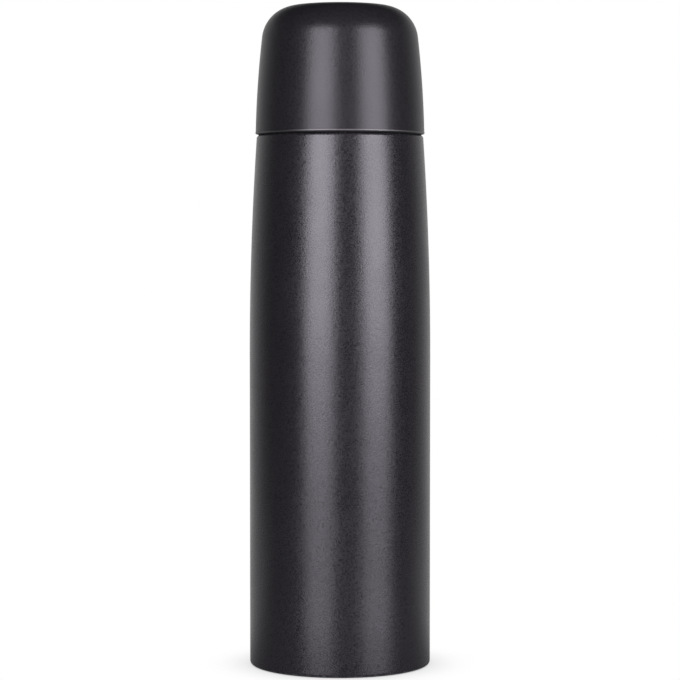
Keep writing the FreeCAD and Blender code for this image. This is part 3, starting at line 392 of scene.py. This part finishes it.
def powder_grain():
    """Pebbled powder coat: bumps of two sizes, and a slow drift of tone."""
    tree, given, put_out = new_group(
        "Powder grain", {"Vector": (VECTOR, None), "Grains": (FLOAT, 1100.0)}, ["Height", "Tone"])
    place = scaled(tree, given["Vector"], given["Grains"])
    pebbles = add_node(tree, "ShaderNodeTexVoronoi", {"feature": "SMOOTH_F1"}, Vector=place, Scale=1.0,
                       Smoothness=0.7, Randomness=1.0).outputs["Distance"]
    fine = noise(tree, place, 2.6, 3.0, 0.62)
    broad = noise(tree, place, 0.45, 2.0)
    mixed = calculate(tree, "MULTIPLY", pebbles, -0.55)
    mixed = calculate(tree, "ADD", mixed, calculate(tree, "MULTIPLY", fine, 0.55))
    mixed = calculate(tree, "ADD", mixed, calculate(tree, "MULTIPLY", broad, 0.25))
    height = calculate(tree, "ADD", mixed, 0.42)
    drift = noise(tree, given["Vector"], 26.0, 2.0)
    tone = calculate(tree, "ADD", calculate(tree, "MULTIPLY", spread(tree, height, 0.2, 0.8), 0.9),
                     calculate(tree, "MULTIPLY", drift, 0.1))
    put_out(Height=height, Tone=tone)
    return tree


def spun_lines():
    """Fine rings about the axis, as a lathe or a brush leaves them."""
    tree, given, put_out = new_group(
        "Spun lines", {"Vector": (VECTOR, None), "Lines": (FLOAT, 2500.0)}, ["Height", "Tone"])
    parts = add_node(tree, "ShaderNodeSeparateXYZ", Vector=given["Vector"]).outputs
    flat = add_node(tree, "ShaderNodeCombineXYZ", X=parts["X"], Y=parts["Y"], Z=0.0).outputs[0]
    radius = add_node(tree, "ShaderNodeVectorMath", {"operation": "LENGTH"}, Vector=flat).outputs["Value"]
    across = calculate(tree, "ADD", parts["Z"], calculate(tree, "MULTIPLY", radius, 0.83))
    rings = calculate(tree, "MULTIPLY", across, given["Lines"])
    around = scaled(tree, flat, 60.0)
    turn = add_node(tree, "ShaderNodeSeparateXYZ", Vector=around).outputs
    place = add_node(tree, "ShaderNodeCombineXYZ", X=turn["X"], Y=turn["Y"], Z=rings).outputs[0]
    lines = noise(tree, place, 1.0, 3.0, 0.7)
    patches = noise(tree, given["Vector"], 90.0, 2.0)
    tone = calculate(tree, "ADD", calculate(tree, "MULTIPLY", spread(tree, lines, 0.25, 0.75), 0.7),
                     calculate(tree, "MULTIPLY", patches, 0.3))
    put_out(Height=lines, Tone=tone)
    return tree


def moulded_skin():
    """Fine spark-eroded skin of a moulded piece, with faint flow marks."""
    tree, given, put_out = new_group(
        "Moulded skin", {"Vector": (VECTOR, None), "Grains": (FLOAT, 3000.0)}, ["Height", "Tone"])
    place = scaled(tree, given["Vector"], given["Grains"])
    fine = noise(tree, place, 1.0, 3.0, 0.65)
    flow = noise(tree, given["Vector"], 55.0, 3.0)
    tone = calculate(tree, "ADD", calculate(tree, "MULTIPLY", spread(tree, fine, 0.3, 0.7), 0.4),
                     calculate(tree, "MULTIPLY", spread(tree, flow, 0.3, 0.7), 0.6))
    put_out(Height=fine, Tone=tone)
    return tree


def handling_marks():
    """Where hands have been: soft smudges, and a few hair-fine scratches across them."""
    tree, given, put_out = new_group(
        "Handling marks", {"Vector": (VECTOR, None), "Patches": (FLOAT, 38.0)}, ["Smudge", "Scratch"])
    smudge = spread(tree, noise(tree, given["Vector"], given["Patches"], 3.0, 0.55), 0.42, 0.72)
    slanted = add_node(tree, "ShaderNodeMapping", Vector=given["Vector"],
                       Rotation=(0.5, 0.3, 0.9), Scale=(700.0, 700.0, 28.0)).outputs[0]
    veins = noise(tree, slanted, 1.0, 2.0)
    line = spread(tree, calculate(tree, "ABSOLUTE", calculate(tree, "SUBTRACT", veins, 0.5)),
                  0.0, 0.012, 1.0, 0.0)
    where = spread(tree, noise(tree, given["Vector"], 60.0, 2.0), 0.55, 0.7)
    put_out(Smudge=smudge, Scratch=calculate(tree, "MULTIPLY", line, where))
    return tree


def rub_band():
    """Wear that fades from one height to another, broken up into patches."""
    tree, given, put_out = new_group(
        "Rub band", {"Vector": (VECTOR, None), "Full": (FLOAT, 0.0), "End": (FLOAT, 1.0)}, ["Wear"])
    height = add_node(tree, "ShaderNodeSeparateXYZ", Vector=given["Vector"]).outputs["Z"]
    fade = spread(tree, height, given["Full"], given["End"], 1.0, 0.0)
    ragged = calculate(tree, "ADD", fade, calculate(
        tree, "MULTIPLY", calculate(tree, "SUBTRACT", noise(tree, given["Vector"], 900.0, 4.0, 0.7), 0.6),
        1.6))
    put_out(Wear=spread(tree, ragged, 0.55, 0.95))
    return tree


GROUPS = {"Powder grain": powder_grain, "Spun lines": spun_lines, "Moulded skin": moulded_skin,
          "Handling marks": handling_marks, "Rub band": rub_band}


def use_group(tree, name, **inputs):
    """A shared group placed in a material, and built if it isn't there yet."""
    group = bpy.data.node_groups.get(name) or GROUPS[name]()
    return add_node(tree, "ShaderNodeGroup", {"node_tree": group}, **inputs).outputs


# ---- Finishes ----

TONE_TO_GLOSS = 0.5
SCRATCH_TO_GLOSS = 0.3


def mixed_colour(tree, factor, first, second):
    """Mix of two colours, each a plain one or a linked output."""
    ends = [given if isinstance(given, bpy.types.NodeSocket) else (*given, 1.0) for given in (first, second)]
    node = add_node(tree, "ShaderNodeMix", {"data_type": "RGBA"}, Factor=factor, i6=ends[0], i7=ends[1])
    return node.outputs[2]


def surface(name, tones, gloss, texture, texture_values, bump, smudge=0.0, wear=None, flake=0.0,
            **sockets):
    """Material: tones mixed by a texture group, roughness moved by tone and smudges, and a bump.
    gloss is the roughness at its low and high, bump the strength and depth, wear the heights of a
    rub band and its tone, flake the sheen of the grain's hollows, and sockets plain values."""
    found = bpy.data.materials.get(name)
    if found:
        return found
    material = bpy.data.materials.new(name)
    material.use_nodes = True
    tree = material.node_tree
    shader = tree.nodes["Principled BSDF"]
    for label, given in sockets.items():
        shader.inputs[label.replace("_", " ")].default_value = given
    place = tree.nodes.new("ShaderNodeTexCoord").outputs["Object"]
    grain = use_group(tree, texture, Vector=place, **texture_values)
    marks = use_group(tree, "Handling marks", Vector=place)
    base = mixed_colour(tree, grain["Tone"], tones[0], tones[1])
    rough = calculate(tree, "ADD", calculate(tree, "MULTIPLY", grain["Tone"], TONE_TO_GLOSS),
                      calculate(tree, "MULTIPLY", marks["Smudge"], smudge))
    shine = calculate(tree, "MULTIPLY", marks["Scratch"], SCRATCH_TO_GLOSS)
    rough = calculate(tree, "SUBTRACT", rough, shine)
    rough = spread(tree, rough, 0.0, 1.0, gloss[0], gloss[1])
    if wear:
        full, none, worn_tone = wear
        worn = use_group(tree, "Rub band", Vector=place, Full=full, End=none)["Wear"]
        base = mixed_colour(tree, worn, base, worn_tone)
    if flake:
        glint = spread(tree, grain["Tone"], 0.3, 0.7, flake, 0.0)
        tree.links.new(glint, shader.inputs["Metallic"])
    tree.links.new(base, shader.inputs["Base Color"])
    tree.links.new(rough, shader.inputs["Roughness"])
    relief = add_node(tree, "ShaderNodeBump", Strength=bump[0], Distance=bump[1], Height=grain["Height"])
    tree.links.new(relief.outputs["Normal"], shader.inputs["Normal"])
    return material


def charcoal_coat(colours):
    return surface("Charcoal coat", (colours.coat_dark, colours.coat_light), (0.19, 0.46),
                   "Powder grain", {"Grains": 2300.0}, (0.6, 0.00006), 0.12,
                   (0.0002, 0.0021, (0.075, 0.073, 0.076)), 0.3, IOR=1.515)


def cup_coat(colours):
    return surface("Cup coat", (colours.cup_dark, colours.cup_light), (0.28, 0.43),
                   "Powder grain", {"Grains": 1700.0}, (0.5, 0.00006), 0.15, None, 0.18, IOR=1.4)


def bare_steel(colours):
    return surface("Bare steel", (colours.steel_dark, colours.steel_light), (0.26, 0.42),
                   "Spun lines", {"Lines": 3200.0}, (0.25, 0.00003), 0.4, Metallic=1.0)


def rolled_rim():
    """Dull steel of the cup's rolled rim, darker than the bare steel."""
    return surface("Rolled rim", ((0.11, 0.109, 0.107), (0.24, 0.237, 0.232)), (0.4, 0.6),
                   "Spun lines", {"Lines": 3200.0}, (0.3, 0.00003), 0.3, Metallic=1.0)


def polished_steel(colours):
    return surface("Polished steel", ((0.55, 0.54, 0.525), (0.74, 0.73, 0.715)), (0.14, 0.3),
                   "Spun lines", {"Lines": 4200.0}, (0.15, 0.00002), 0.4, Metallic=1.0)


def foil(colours):
    return surface("Crinkled foil", ((0.72, 0.72, 0.73), (0.88, 0.88, 0.89)), (0.1, 0.24),
                   "Moulded skin", {"Grains": 420.0}, (0.6, 0.0006), 0.2, Metallic=1.0)


def solder_glass(colours):
    return surface("Solder glass", ((0.07, 0.075, 0.085), (0.12, 0.125, 0.14)), (0.1, 0.25),
                   "Moulded skin", {"Grains": 900.0}, (0.2, 0.00005), 0.2, Coat_Weight=0.6)


def getter_grey(colours):
    return surface("Getter grey", ((0.05, 0.05, 0.052), (0.11, 0.11, 0.112)), (0.6, 0.8),
                   "Powder grain", {"Grains": 2600.0}, (0.7, 0.00006), 0.1, Metallic=0.6)


def black_plastic(colours):
    return surface("Black plastic", (colours.black_dark, colours.black_light), (0.36, 0.5),
                   "Moulded skin", {"Grains": 3400.0}, (0.35, 0.00004), 0.35, IOR=1.49)


def grey_plastic(colours):
    return surface("Grey plastic", (colours.grey_dark, colours.grey_light), (0.36, 0.5),
                   "Moulded skin", {"Grains": 3400.0}, (0.35, 0.00004), 0.35, IOR=1.49)


def liner_plastic(colours):
    return surface("Liner plastic", ((0.03, 0.03, 0.032), (0.045, 0.045, 0.048)), (0.26, 0.4),
                   "Moulded skin", {"Grains": 2400.0}, (0.2, 0.00003), 0.35, IOR=1.49)


def clear_silicone(colours):
    return surface("Clear silicone", ((0.38, 0.38, 0.365), (0.5, 0.5, 0.485)), (0.38, 0.52),
                   "Moulded skin", {"Grains": 2600.0}, (0.2, 0.00004), 0.3, IOR=1.41,
                   Subsurface_Weight=0.5, Subsurface_Radius=(0.004, 0.004, 0.0035),
                   Subsurface_Scale=1.0)


def black_silicone(colours):
    return surface("Black silicone", ((0.008, 0.008, 0.009), (0.014, 0.014, 0.015)), (0.5, 0.68),
                   "Moulded skin", {"Grains": 3000.0}, (0.3, 0.00004), 0.3, IOR=1.41)


def spring_steel(colours):
    return surface("Spring steel", ((0.42, 0.42, 0.43), (0.62, 0.62, 0.63)), (0.2, 0.34),
                   "Spun lines", {"Lines": 5200.0}, (0.15, 0.00001), 0.2, Metallic=1.0)


# Each takes the user's colours; a finish with tones of its own leaves them unused.
FINISHES = {finish.__name__: finish for finish in (
    charcoal_coat, cup_coat, bare_steel, polished_steel, foil, solder_glass, getter_grey, black_plastic,
    grey_plastic, liner_plastic, clear_silicone, black_silicone, spring_steel)}


def finish_of(context, slot):
    return FINISHES[slot](context.scene.flask_colours)


def settle(piece, body, slot, *nodes):
    """The piece rides on its body and stands for its nodes, which it hides; slot is not used."""
    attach(piece, body)
    if nodes:
        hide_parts(*nodes)
    return piece


# ---- Pieces ----

def body_outline(sizes):
    """Foot rim, wall, taper, shoulder, neck and lip outside, and the same wall's inside."""
    sheet = sizes.sheet
    neck_top = top_of("outer_shell") - sizes.lip_width / 2
    lip_middle = (sizes.neck_radius - sizes.lip_width / 2, neck_top)
    taper = upright_arc((sizes.body_radius, sizes.straight_height),
                        (sizes.shoulder_radius, sizes.shoulder_height), 34)[:-1]
    inner_taper = upright_arc((sizes.body_radius - sheet, sizes.straight_height),
                              (sizes.shoulder_radius - sheet, sizes.shoulder_height - sheet), 24)
    edge = 0.15 * MM
    foot_height = 20 * MM
    row_height = 0.2 * MM
    lower = rounded([
        (sizes.body_radius - sheet, foot_height),
        (sizes.body_radius - sheet, sheet, sizes.foot_round - sheet),
        (sizes.foot_bore, sheet, edge), (sizes.foot_bore, 0, edge),
        (sizes.body_radius, 0, sizes.foot_round), (sizes.body_radius, foot_height)], 8)
    upper = rounded([
        taper[-1], (sizes.shoulder_radius, sizes.shoulder_height, sizes.shoulder_round),
        (sizes.neck_radius, sizes.shoulder_height, sizes.neck_root), (sizes.neck_radius, neck_top)], 8)
    thread_low = sizes.thread_start - sizes.ridge_root / 2 - sizes.thread_lead * sizes.ridge_fade
    thread_high = (sizes.thread_start + sizes.ridge_root / 2
                   + sizes.thread_lead * (sizes.thread_turns + sizes.ridge_fade))
    rows = int((thread_high - thread_low) / row_height)
    neck = straight((sizes.neck_radius, thread_low), (sizes.neck_radius, thread_high), rows)
    lip = arc(lip_middle, sizes.lip_width / 2, 0, TURN / 4, 14)
    lip_inside = arc(lip_middle, sizes.lip_width / 2 - sheet, TURN / 4, 0, 10)
    neck_inside = sizes.neck_radius - sheet
    wall = straight((sizes.body_radius, foot_height), (sizes.body_radius, sizes.straight_height), 8)
    return (lower[1:-1] + wall + taper[:-1] + upper[1:-1] + neck + lip + lip_inside
            + [(neck_inside, sizes.shoulder_height - sheet)] + inner_taper[::-1])


def make_body(context):
    """Coated shell, bare inside, and from the coat's edge on the shoulder up to the lip."""
    sizes = context.scene.flask_sizes
    slack = 0.05 * MM

    def thread(angle, radius, height):
        if abs(radius - sizes.neck_radius) > TINY or height < sizes.shoulder_height:
            return radius
        return radius + ridge_height(sizes, sizes.thread_start, angle, height)

    def bare(centre):
        radius = math.hypot(centre.x, centre.y)
        on_neck = radius < sizes.coat_edge and centre.z > sizes.shoulder_height - 2 * slack
        wall = sizes.body_radius - sizes.sheet / 2
        inside = radius < wall - slack and sizes.sheet * 1.2 < centre.z < sizes.straight_height
        return 1 if on_neck or inside else 0

    finishes = [finish_of(context, "charcoal_coat"), finish_of(context, "bare_steel")]
    piece = turned("coated_body", body_outline(sizes), finishes, bare, thread)
    settle(piece, "flask", "charcoal_coat", "outer_shell")


def make_lip_weld(context):
    """Fine weld bead along the top of the mouth, where shell and vessel meet."""
    sizes = context.scene.flask_sizes
    middle = sizes.neck_radius - sizes.lip_width / 2
    top = top_of("outer_shell")
    bead, sunk = 0.26 * MM, 0.2 * MM
    ripples, ripple_depth = 220, 0.012 * MM
    section = arc((middle, top - sunk), bead, 0, TURN, 12)[:-1]

    def ripple(angle, radius, height):
        return radius + ripple_depth * math.sin(angle * ripples)

    piece = turned("lip_weld", section, [finish_of(context, "bare_steel")], None, ripple)
    settle(piece, "flask", "bare_steel")


def make_base_disc(context):
    """Pressed disc under the base, with a dished middle, a ring groove and a rounded edge."""
    low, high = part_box("base_cover")
    pressed = low.z + 0.22 * MM
    edge = high.x
    piece = turned("base_disc", rounded([
        (0, pressed), (6.0 * MM, pressed, 0.5 * MM), (7.0 * MM, low.z, 0.5 * MM),
        (14.6 * MM, low.z, 0.4 * MM), (15.2 * MM, pressed, 0.3 * MM),
        (16.4 * MM, pressed, 0.3 * MM), (17.0 * MM, low.z, 0.4 * MM),
        (edge, low.z, 0.35 * MM), (edge, high.z, 0.1 * MM), (0, high.z)]),
        [finish_of(context, "polished_steel")])
    settle(piece, "flask", "polished_steel", "base_cover")


def cup_outline(sizes):
    """Bowed wall, domed top and rolled rim of the cup's shell."""
    low, high = foot_of("cup_outer_shell"), top_of("cup_outer_shell")
    rim = (sizes.cup_rim, low + sizes.cup_bead)
    top_radius = sizes.cup_rim - sizes.cup_draw
    shoulder = (top_radius, high - sizes.cup_crown)
    middle = (Vector(rim) + Vector(shoulder)) / 2
    chord = Vector(shoulder) - Vector(rim)
    reach = math.sqrt(sizes.cup_side_round ** 2 - chord.length_squared / 4)
    side_centre = middle + Vector((-chord.y, chord.x)).normalized() * reach
    dome_radius = (top_radius ** 2 + sizes.cup_crown ** 2) / (2 * sizes.cup_crown)
    dome_centre = Vector((0, high - dome_radius))
    bead = Vector((sizes.cup_rim - sizes.bead_inset, rim[1]))
    outlines = []
    for inset, way in ((0, 1), (sizes.sheet, -1)):
        side, dome = sizes.cup_side_round - inset, dome_radius - inset
        corner = sizes.cup_corner_round - inset
        centre = circles_meet(side_centre, side - corner, dome_centre, dome - corner)
        on_side = angle_from(side_centre, centre)
        on_dome = angle_from(dome_centre, centre)
        rim_angle = math.acos((sizes.cup_rim - inset - bead.x) / sizes.cup_bead)
        rim_height = bead.y + sizes.cup_bead * math.sin(rim_angle)
        start = math.asin((rim_height - side_centre.y) / side)
        outline = arc(side_centre, side, start, on_side, 22)
        outline += arc(centre, corner, on_side, on_dome, 22)[1:]
        outline += arc(dome_centre, dome, on_dome, TURN / 4, 16)[1:]
        outlines.append((outline[::way], rim_angle))
    roll = arc(bead, sizes.cup_bead, outlines[1][1] - TURN, outlines[0][1], 26)[1:-1]
    return outlines[0][0] + outlines[1][0] + roll


def make_cup(context):
    """Coated cup, whose rolled rim is left bare."""
    sizes = context.scene.flask_sizes
    bare_rise = 1.7 * sizes.cup_bead
    coat_low = foot_of("cup_outer_shell") + bare_rise

    def bare(centre):
        return 1 if centre.z < coat_low else 0

    finishes = [finish_of(context, "cup_coat"), rolled_rim()]
    piece = turned("coated_cup", cup_outline(sizes), finishes, bare)
    settle(piece, "cup", "cup_coat", "cup_outer_shell")


def make_seat_ring(context):
    """Soft ring under the cup, with two sealing ribs on its underside."""
    low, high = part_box("cup_seat_ring")
    outside, inside = high.x, 28.2 * MM
    rib = 0.2 * MM
    base = low.z + rib
    piece = turned("seat_ring", rounded([
        (inside, base, 0.15 * MM), (inside + 0.5 * MM, base, 0.1 * MM),
        (inside + 0.7 * MM, low.z, 0.1 * MM), (inside + 1.0 * MM, low.z, 0.1 * MM),
        (inside + 1.2 * MM, base, 0.1 * MM), (outside - 0.9 * MM, base, 0.1 * MM),
        (outside - 0.7 * MM, low.z, 0.1 * MM), (outside - 0.4 * MM, low.z, 0.1 * MM),
        (outside, base, 0.15 * MM), (outside, high.z, 0.3 * MM), (inside, high.z, 0.3 * MM)], 4),
        [finish_of(context, "black_silicone")])
    settle(piece, "cup_seal", "black_silicone", "cup_seat_ring")


def button_top(sizes, high):
    """Dished top of the button, from its middle outwards, with fine ring grooves for the thumb."""
    dish = 0.5 * MM
    reach = sizes.button_radius - sizes.button_wall
    groove = 0.16 * MM

    def height(radius):
        return high - dish * (1 - (radius / reach) ** 2)

    points = [(0, height(0))]
    for middle in (2.6 * MM, 4.2 * MM, 5.8 * MM, 7.4 * MM):
        for aside, depth in ((-0.4, 0), (-0.2, groove), (0.2, groove), (0.4, 0)):
            radius = middle + aside * MM
            points.append((radius, height(radius) - depth, 0.08 * MM))
    return points + [(reach, high, 0.2 * MM)]


def make_button(context):
    """Button with a dished top, a skirt that ends in a lip, and a hub for the stem."""
    sizes = context.scene.flask_sizes
    low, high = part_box("push_button")
    roof = high.z - 2.2 * MM
    bore = sizes.button_radius - sizes.button_wall
    lip_top = low.z + 1.4 * MM
    stem, hub, hub_low = 2.0 * MM, 4.0 * MM, low.z + 2.0 * MM
    stem_top = roof - 1.8 * MM
    piece = turned("pour_button", rounded(button_top(sizes, high.z) + [
        (sizes.button_radius, high.z, 0.8 * MM), (sizes.button_radius, lip_top, 0.3 * MM),
        (high.x, lip_top, 0.3 * MM), (high.x, low.z, 0.3 * MM), (bore, low.z, 0.2 * MM),
        (bore, roof, 0.5 * MM), (hub, roof, 0.4 * MM), (hub, hub_low, 0.2 * MM),
        (stem, hub_low, 0.1 * MM), (stem, stem_top), (0, stem_top)]), [finish_of(context, "grey_plastic")])
    settle(piece, "button", "grey_plastic", "push_button")


def make_gasket(context):
    """Stopper's silicone ring: a cone below, and two lips with a groove between them."""
    low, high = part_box("stopper_gasket")
    outside, inside, cone = high.x, 17.65 * MM, 1.1 * MM
    groove = 0.45 * MM
    piece = turned("gasket_ring", rounded([
        (inside, low.z, 0.2 * MM), (outside - cone, low.z, 0.25 * MM),
        (outside, low.z + cone, 0.2 * MM), (outside, low.z + 1.5 * MM, 0.15 * MM),
        (outside - groove, low.z + 1.8 * MM, 0.15 * MM), (outside - groove, low.z + 2.2 * MM, 0.15 * MM),
        (outside, low.z + 2.5 * MM, 0.15 * MM), (outside, high.z - 1.4 * MM, 0.3 * MM),
        (outside - 0.7 * MM, high.z, 0.3 * MM), (inside, high.z, 0.2 * MM)]),
        [finish_of(context, "clear_silicone")])
    settle(piece, "stopper_seal", "clear_silicone", "stopper_gasket")


def make_springs(context):
    """Coil under the button, and the small one behind the release."""
    steel = finish_of(context, "spring_steel")
    low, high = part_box("button_spring")
    wire = 0.8 * MM
    travel = 4.0 * MM
    tall = high.z - low.z
    piece = coil("button_coil", high.x - wire / 2, wire, tall, 6.5,
                 Matrix.Translation((0, 0, low.z)), steel)
    settle(piece, "stopper", "spring_steel", "button_spring")
    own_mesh(piece)

    low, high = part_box("release_spring")
    wire = 0.3 * MM
    travel = 1.5 * MM
    height = (low.z + high.z) / 2
    long = high.x - low.x + travel
    place = Matrix.Translation((low.x, 0, height)) @ Matrix.Rotation(TURN / 4, 4, "Y")
    piece = coil("release_coil", (high.z - low.z) / 2 - wire / 2, wire, long, 6, place, steel)
    settle(piece, "stopper", "spring_steel", "release_spring")
    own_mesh(piece)


def finish_parts(context):
    """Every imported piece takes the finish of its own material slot."""
    for row in frame["record"]["subparts"]:
        node = frame["nodes"][row["node"]]
        node.data.materials.clear()
        node.data.materials.append(finish_of(context, row["material_slot"]))


# ---- Stage ----

FLOOR_RADIUS = 0.42
FLOOR_DROP = 0.05 * MM
# Painted contact shadow on the floor: how far it reaches, and its darkest colour.
PAINTED_SHADOW_REACH = 0.02
PAINTED_SHADOW_TINT = (0.55, 0.55, 0.56)
WHITE = (1.0, 1.0, 1.0)
BACKDROP_TINT = (1.0, 0.99, 1.0, 1.0)
BOX_TINT = (1.0, 0.945, 1.06)
SENSOR_WIDTH = 36.0
# Ranges for spread(): where it starts and ends, and the strengths there.
# The floor glow is painted light: the floor glows, brighter behind the flask, so it lights the flask and
# shows in its reflections.
PAINTED_FLOOR_GLOW = (-0.03, 0.09, 0.02, 0.33)
LOW_SKY = (0.25, 0.6, 1.0, 0.0)
BACK_SKY = (0.1, 1.0)


def make_floor():
    """Pale floor disc. The camera sees it as white light with a painted contact shadow where the flask
    stands close to it. To the flask it is a satin floor with a painted glow, brighter behind the flask. It
    is clear from below.
    """
    bm = bmesh.new()
    bmesh.ops.create_circle(bm, cap_ends=True, segments=96, radius=FLOOR_RADIUS)
    mesh = bpy.data.meshes.new("floor")
    bm.to_mesh(mesh)
    bm.free()
    floor = bpy.data.objects.new("floor", mesh)
    bpy.context.scene.collection.objects.link(floor)
    floor.location.z = -FLOOR_DROP
    material = bpy.data.materials.new("floor")
    material.use_nodes = True
    tree = material.node_tree
    tree.nodes.remove(tree.nodes["Principled BSDF"])
    # Painted contact shadow: occlusion darkens the floor's white glow near the flask.
    painted_shadow = add_node(tree, "ShaderNodeAmbientOcclusion", {"samples": 8},
                     Distance=PAINTED_SHADOW_REACH).outputs["AO"]
    painted_shadow_colour = mixed_colour(tree, spread(tree, painted_shadow, 0.0, 1.0), PAINTED_SHADOW_TINT, WHITE)
    glow_with_painted_shadow = add_node(tree, "ShaderNodeEmission", Color=painted_shadow_colour)
    across = add_node(tree, "ShaderNodeSeparateXYZ",
                      Vector=tree.nodes.new("ShaderNodeTexCoord").outputs["Object"]).outputs["Y"]
    # Painted glow of the floor, brighter behind the flask, seen only by rays that are not from the camera.
    behind = add_node(tree, "ShaderNodeEmission", Color=(*WHITE, 1.0),
                      Strength=spread(tree, across, *PAINTED_FLOOR_GLOW)).outputs[0]
    satin = add_node(tree, "ShaderNodeBsdfPrincipled", Base_Color=(0.2, 0.2, 0.2, 1.0),
                     Roughness=0.24, IOR=1.17).outputs[0]
    plain = add_node(tree, "ShaderNodeAddShader", i0=satin, i1=behind)
    seen = tree.nodes.new("ShaderNodeLightPath").outputs["Is Camera Ray"]
    mixed = add_node(tree, "ShaderNodeMixShader", i0=seen, i1=plain.outputs[0], i2=glow_with_painted_shadow.outputs[0])
    below = tree.nodes.new("ShaderNodeNewGeometry").outputs["Backfacing"]
    clear = tree.nodes.new("ShaderNodeBsdfTransparent").outputs[0]
    shown = add_node(tree, "ShaderNodeMixShader", i0=below, i1=mixed.outputs[0], i2=clear)
    tree.links.new(shown.outputs[0], tree.nodes["Material Output"].inputs["Surface"])
    mesh.materials.append(material)


def make_backdrop(studio):
    """White all round; as light, brightest from behind and dim from the front."""
    world = bpy.data.worlds.new("backdrop")
    bpy.context.scene.world = world
    world.use_nodes = True
    tree = world.node_tree
    tree.nodes.clear()
    way = tree.nodes.new("ShaderNodeTexCoord").outputs["Generated"]
    parts = add_node(tree, "ShaderNodeSeparateXYZ", Vector=way).outputs
    low = spread(tree, parts["Z"], *LOW_SKY)
    behind = spread(tree, parts["Y"], *BACK_SKY, studio.front, studio.backdrop)
    level = calculate(tree, "MULTIPLY", low, behind)
    light = add_node(tree, "ShaderNodeBackground", Color=BACKDROP_TINT, Strength=level)
    white = add_node(tree, "ShaderNodeBackground", Color=(*WHITE, 1.0), Strength=1.0)
    seen = tree.nodes.new("ShaderNodeLightPath").outputs["Is Camera Ray"]
    mixed = add_node(tree, "ShaderNodeMixShader", i0=seen, i1=light.outputs[0], i2=white.outputs[0])
    end = tree.nodes.new("ShaderNodeOutputWorld")
    tree.links.new(mixed.outputs[0], end.inputs["Surface"])


def make_soft_box(studio, name, angle, wide, power):
    """Upright rectangle of light facing the flask's axis."""
    lamp = bpy.data.lights.new(name, "AREA")
    lamp.shape = "RECTANGLE"
    lamp.size = wide
    lamp.size_y = studio.box_tall
    lamp.energy = power
    lamp.color = BOX_TINT
    light = bpy.data.objects.new(name, lamp)
    reach = studio.box_distance
    light.location = (reach * math.sin(angle), -reach * math.cos(angle), studio.box_middle)
    light.rotation_euler = (TURN / 4, 0, angle)
    light.visible_camera = False
    bpy.context.scene.collection.objects.link(light)


def make_camera(studio):
    """Long lens in front of the flask, looking a little down."""
    lens = bpy.data.cameras.new("camera")
    lens.sensor_width = SENSOR_WIDTH
    lens.lens = studio.camera_lens
    camera = bpy.data.objects.new("camera", lens)
    camera.location = (0, -studio.camera_distance, studio.camera_height)
    camera.rotation_euler = (TURN / 4 - studio.camera_tilt, 0, 0)
    bpy.context.scene.collection.objects.link(camera)
    bpy.context.scene.camera = camera


def make_stage(context):
    """Floor, backdrop, two soft boxes and the camera."""
    studio = context.scene.flask_studio
    make_floor()
    make_backdrop(studio)
    make_soft_box(studio, "left_box", studio.left_angle, studio.left_wide, studio.left_power)
    make_soft_box(studio, "right_box", studio.right_angle, studio.right_wide, studio.right_power)
    make_camera(studio)
    context.scene.view_settings.view_transform = "Standard"


# ---- Operators, panel and run ----

class FLASK_OT_body(bpy.types.Operator):
    """Build the coated body and its threaded neck"""
    bl_idname = "flask.body"
    bl_label = "Body"

    def execute(self, context):
        make_body(context)
        make_lip_weld(context)
        return {"FINISHED"}


class FLASK_OT_base(bpy.types.Operator):
    """Build the pressed disc under the base"""
    bl_idname = "flask.base"
    bl_label = "Base"

    def execute(self, context):
        make_base_disc(context)
        return {"FINISHED"}


class FLASK_OT_cup(bpy.types.Operator):
    """Build the coated cup and its seat ring"""
    bl_idname = "flask.cup"
    bl_label = "Cup"

    def execute(self, context):
        make_cup(context)
        make_seat_ring(context)
        return {"FINISHED"}


class FLASK_OT_stopper(bpy.types.Operator):
    """Build the stopper's button, gasket and two springs"""
    bl_idname = "flask.stopper"
    bl_label = "Stopper"

    def execute(self, context):
        make_button(context)
        make_gasket(context)
        make_springs(context)
        return {"FINISHED"}


class FLASK_OT_parts(bpy.types.Operator):
    """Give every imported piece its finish"""
    bl_idname = "flask.parts"
    bl_label = "Finish packed pieces"

    def execute(self, context):
        finish_parts(context)
        return {"FINISHED"}


class FLASK_OT_stage(bpy.types.Operator):
    """Build the floor, backdrop, soft boxes and camera"""
    bl_idname = "flask.stage"
    bl_label = "Stage"

    def execute(self, context):
        make_stage(context)
        return {"FINISHED"}


OPERATORS = (FLASK_OT_parts, FLASK_OT_body, FLASK_OT_base, FLASK_OT_cup, FLASK_OT_stopper,
             FLASK_OT_stage)


class FLASK_PT_panel(bpy.types.Panel):
    """Sizes, colours and pieces of the flask"""
    bl_idname = "FLASK_PT_panel"
    bl_label = "Vacuum flask"
    bl_space_type = "VIEW_3D"
    bl_region_type = "UI"
    bl_category = "Flask"

    def draw(self, context):
        for operator in OPERATORS:
            self.layout.operator(operator.bl_idname)
        for settings in (context.scene.flask_sizes, context.scene.flask_colours, context.scene.flask_studio):
            box = self.layout.box()
            for name in settings.bl_rna.properties.keys():
                if name not in {"rna_type", "name"}:
                    box.prop(settings, name)


CLASSES = (FlaskSizes, FlaskColours, StudioLight, *OPERATORS, FLASK_PT_panel)


def register():
    for item in CLASSES:
        bpy.utils.register_class(item)
    bpy.types.Scene.flask_sizes = PointerProperty(type=FlaskSizes)
    bpy.types.Scene.flask_colours = PointerProperty(type=FlaskColours)
    bpy.types.Scene.flask_studio = PointerProperty(type=StudioLight)


def unregister():
    del bpy.types.Scene.flask_studio
    del bpy.types.Scene.flask_colours
    del bpy.types.Scene.flask_sizes
    for item in reversed(CLASSES):
        bpy.utils.unregister_class(item)


def main():
    register()
    bpy.ops.flask.parts()
    bpy.ops.flask.body()
    bpy.ops.flask.base()
    bpy.ops.flask.cup()
    bpy.ops.flask.stopper()
    bpy.ops.flask.stage()
    bpy.context.view_layer.update()


if __name__ == "__main__":
    main()
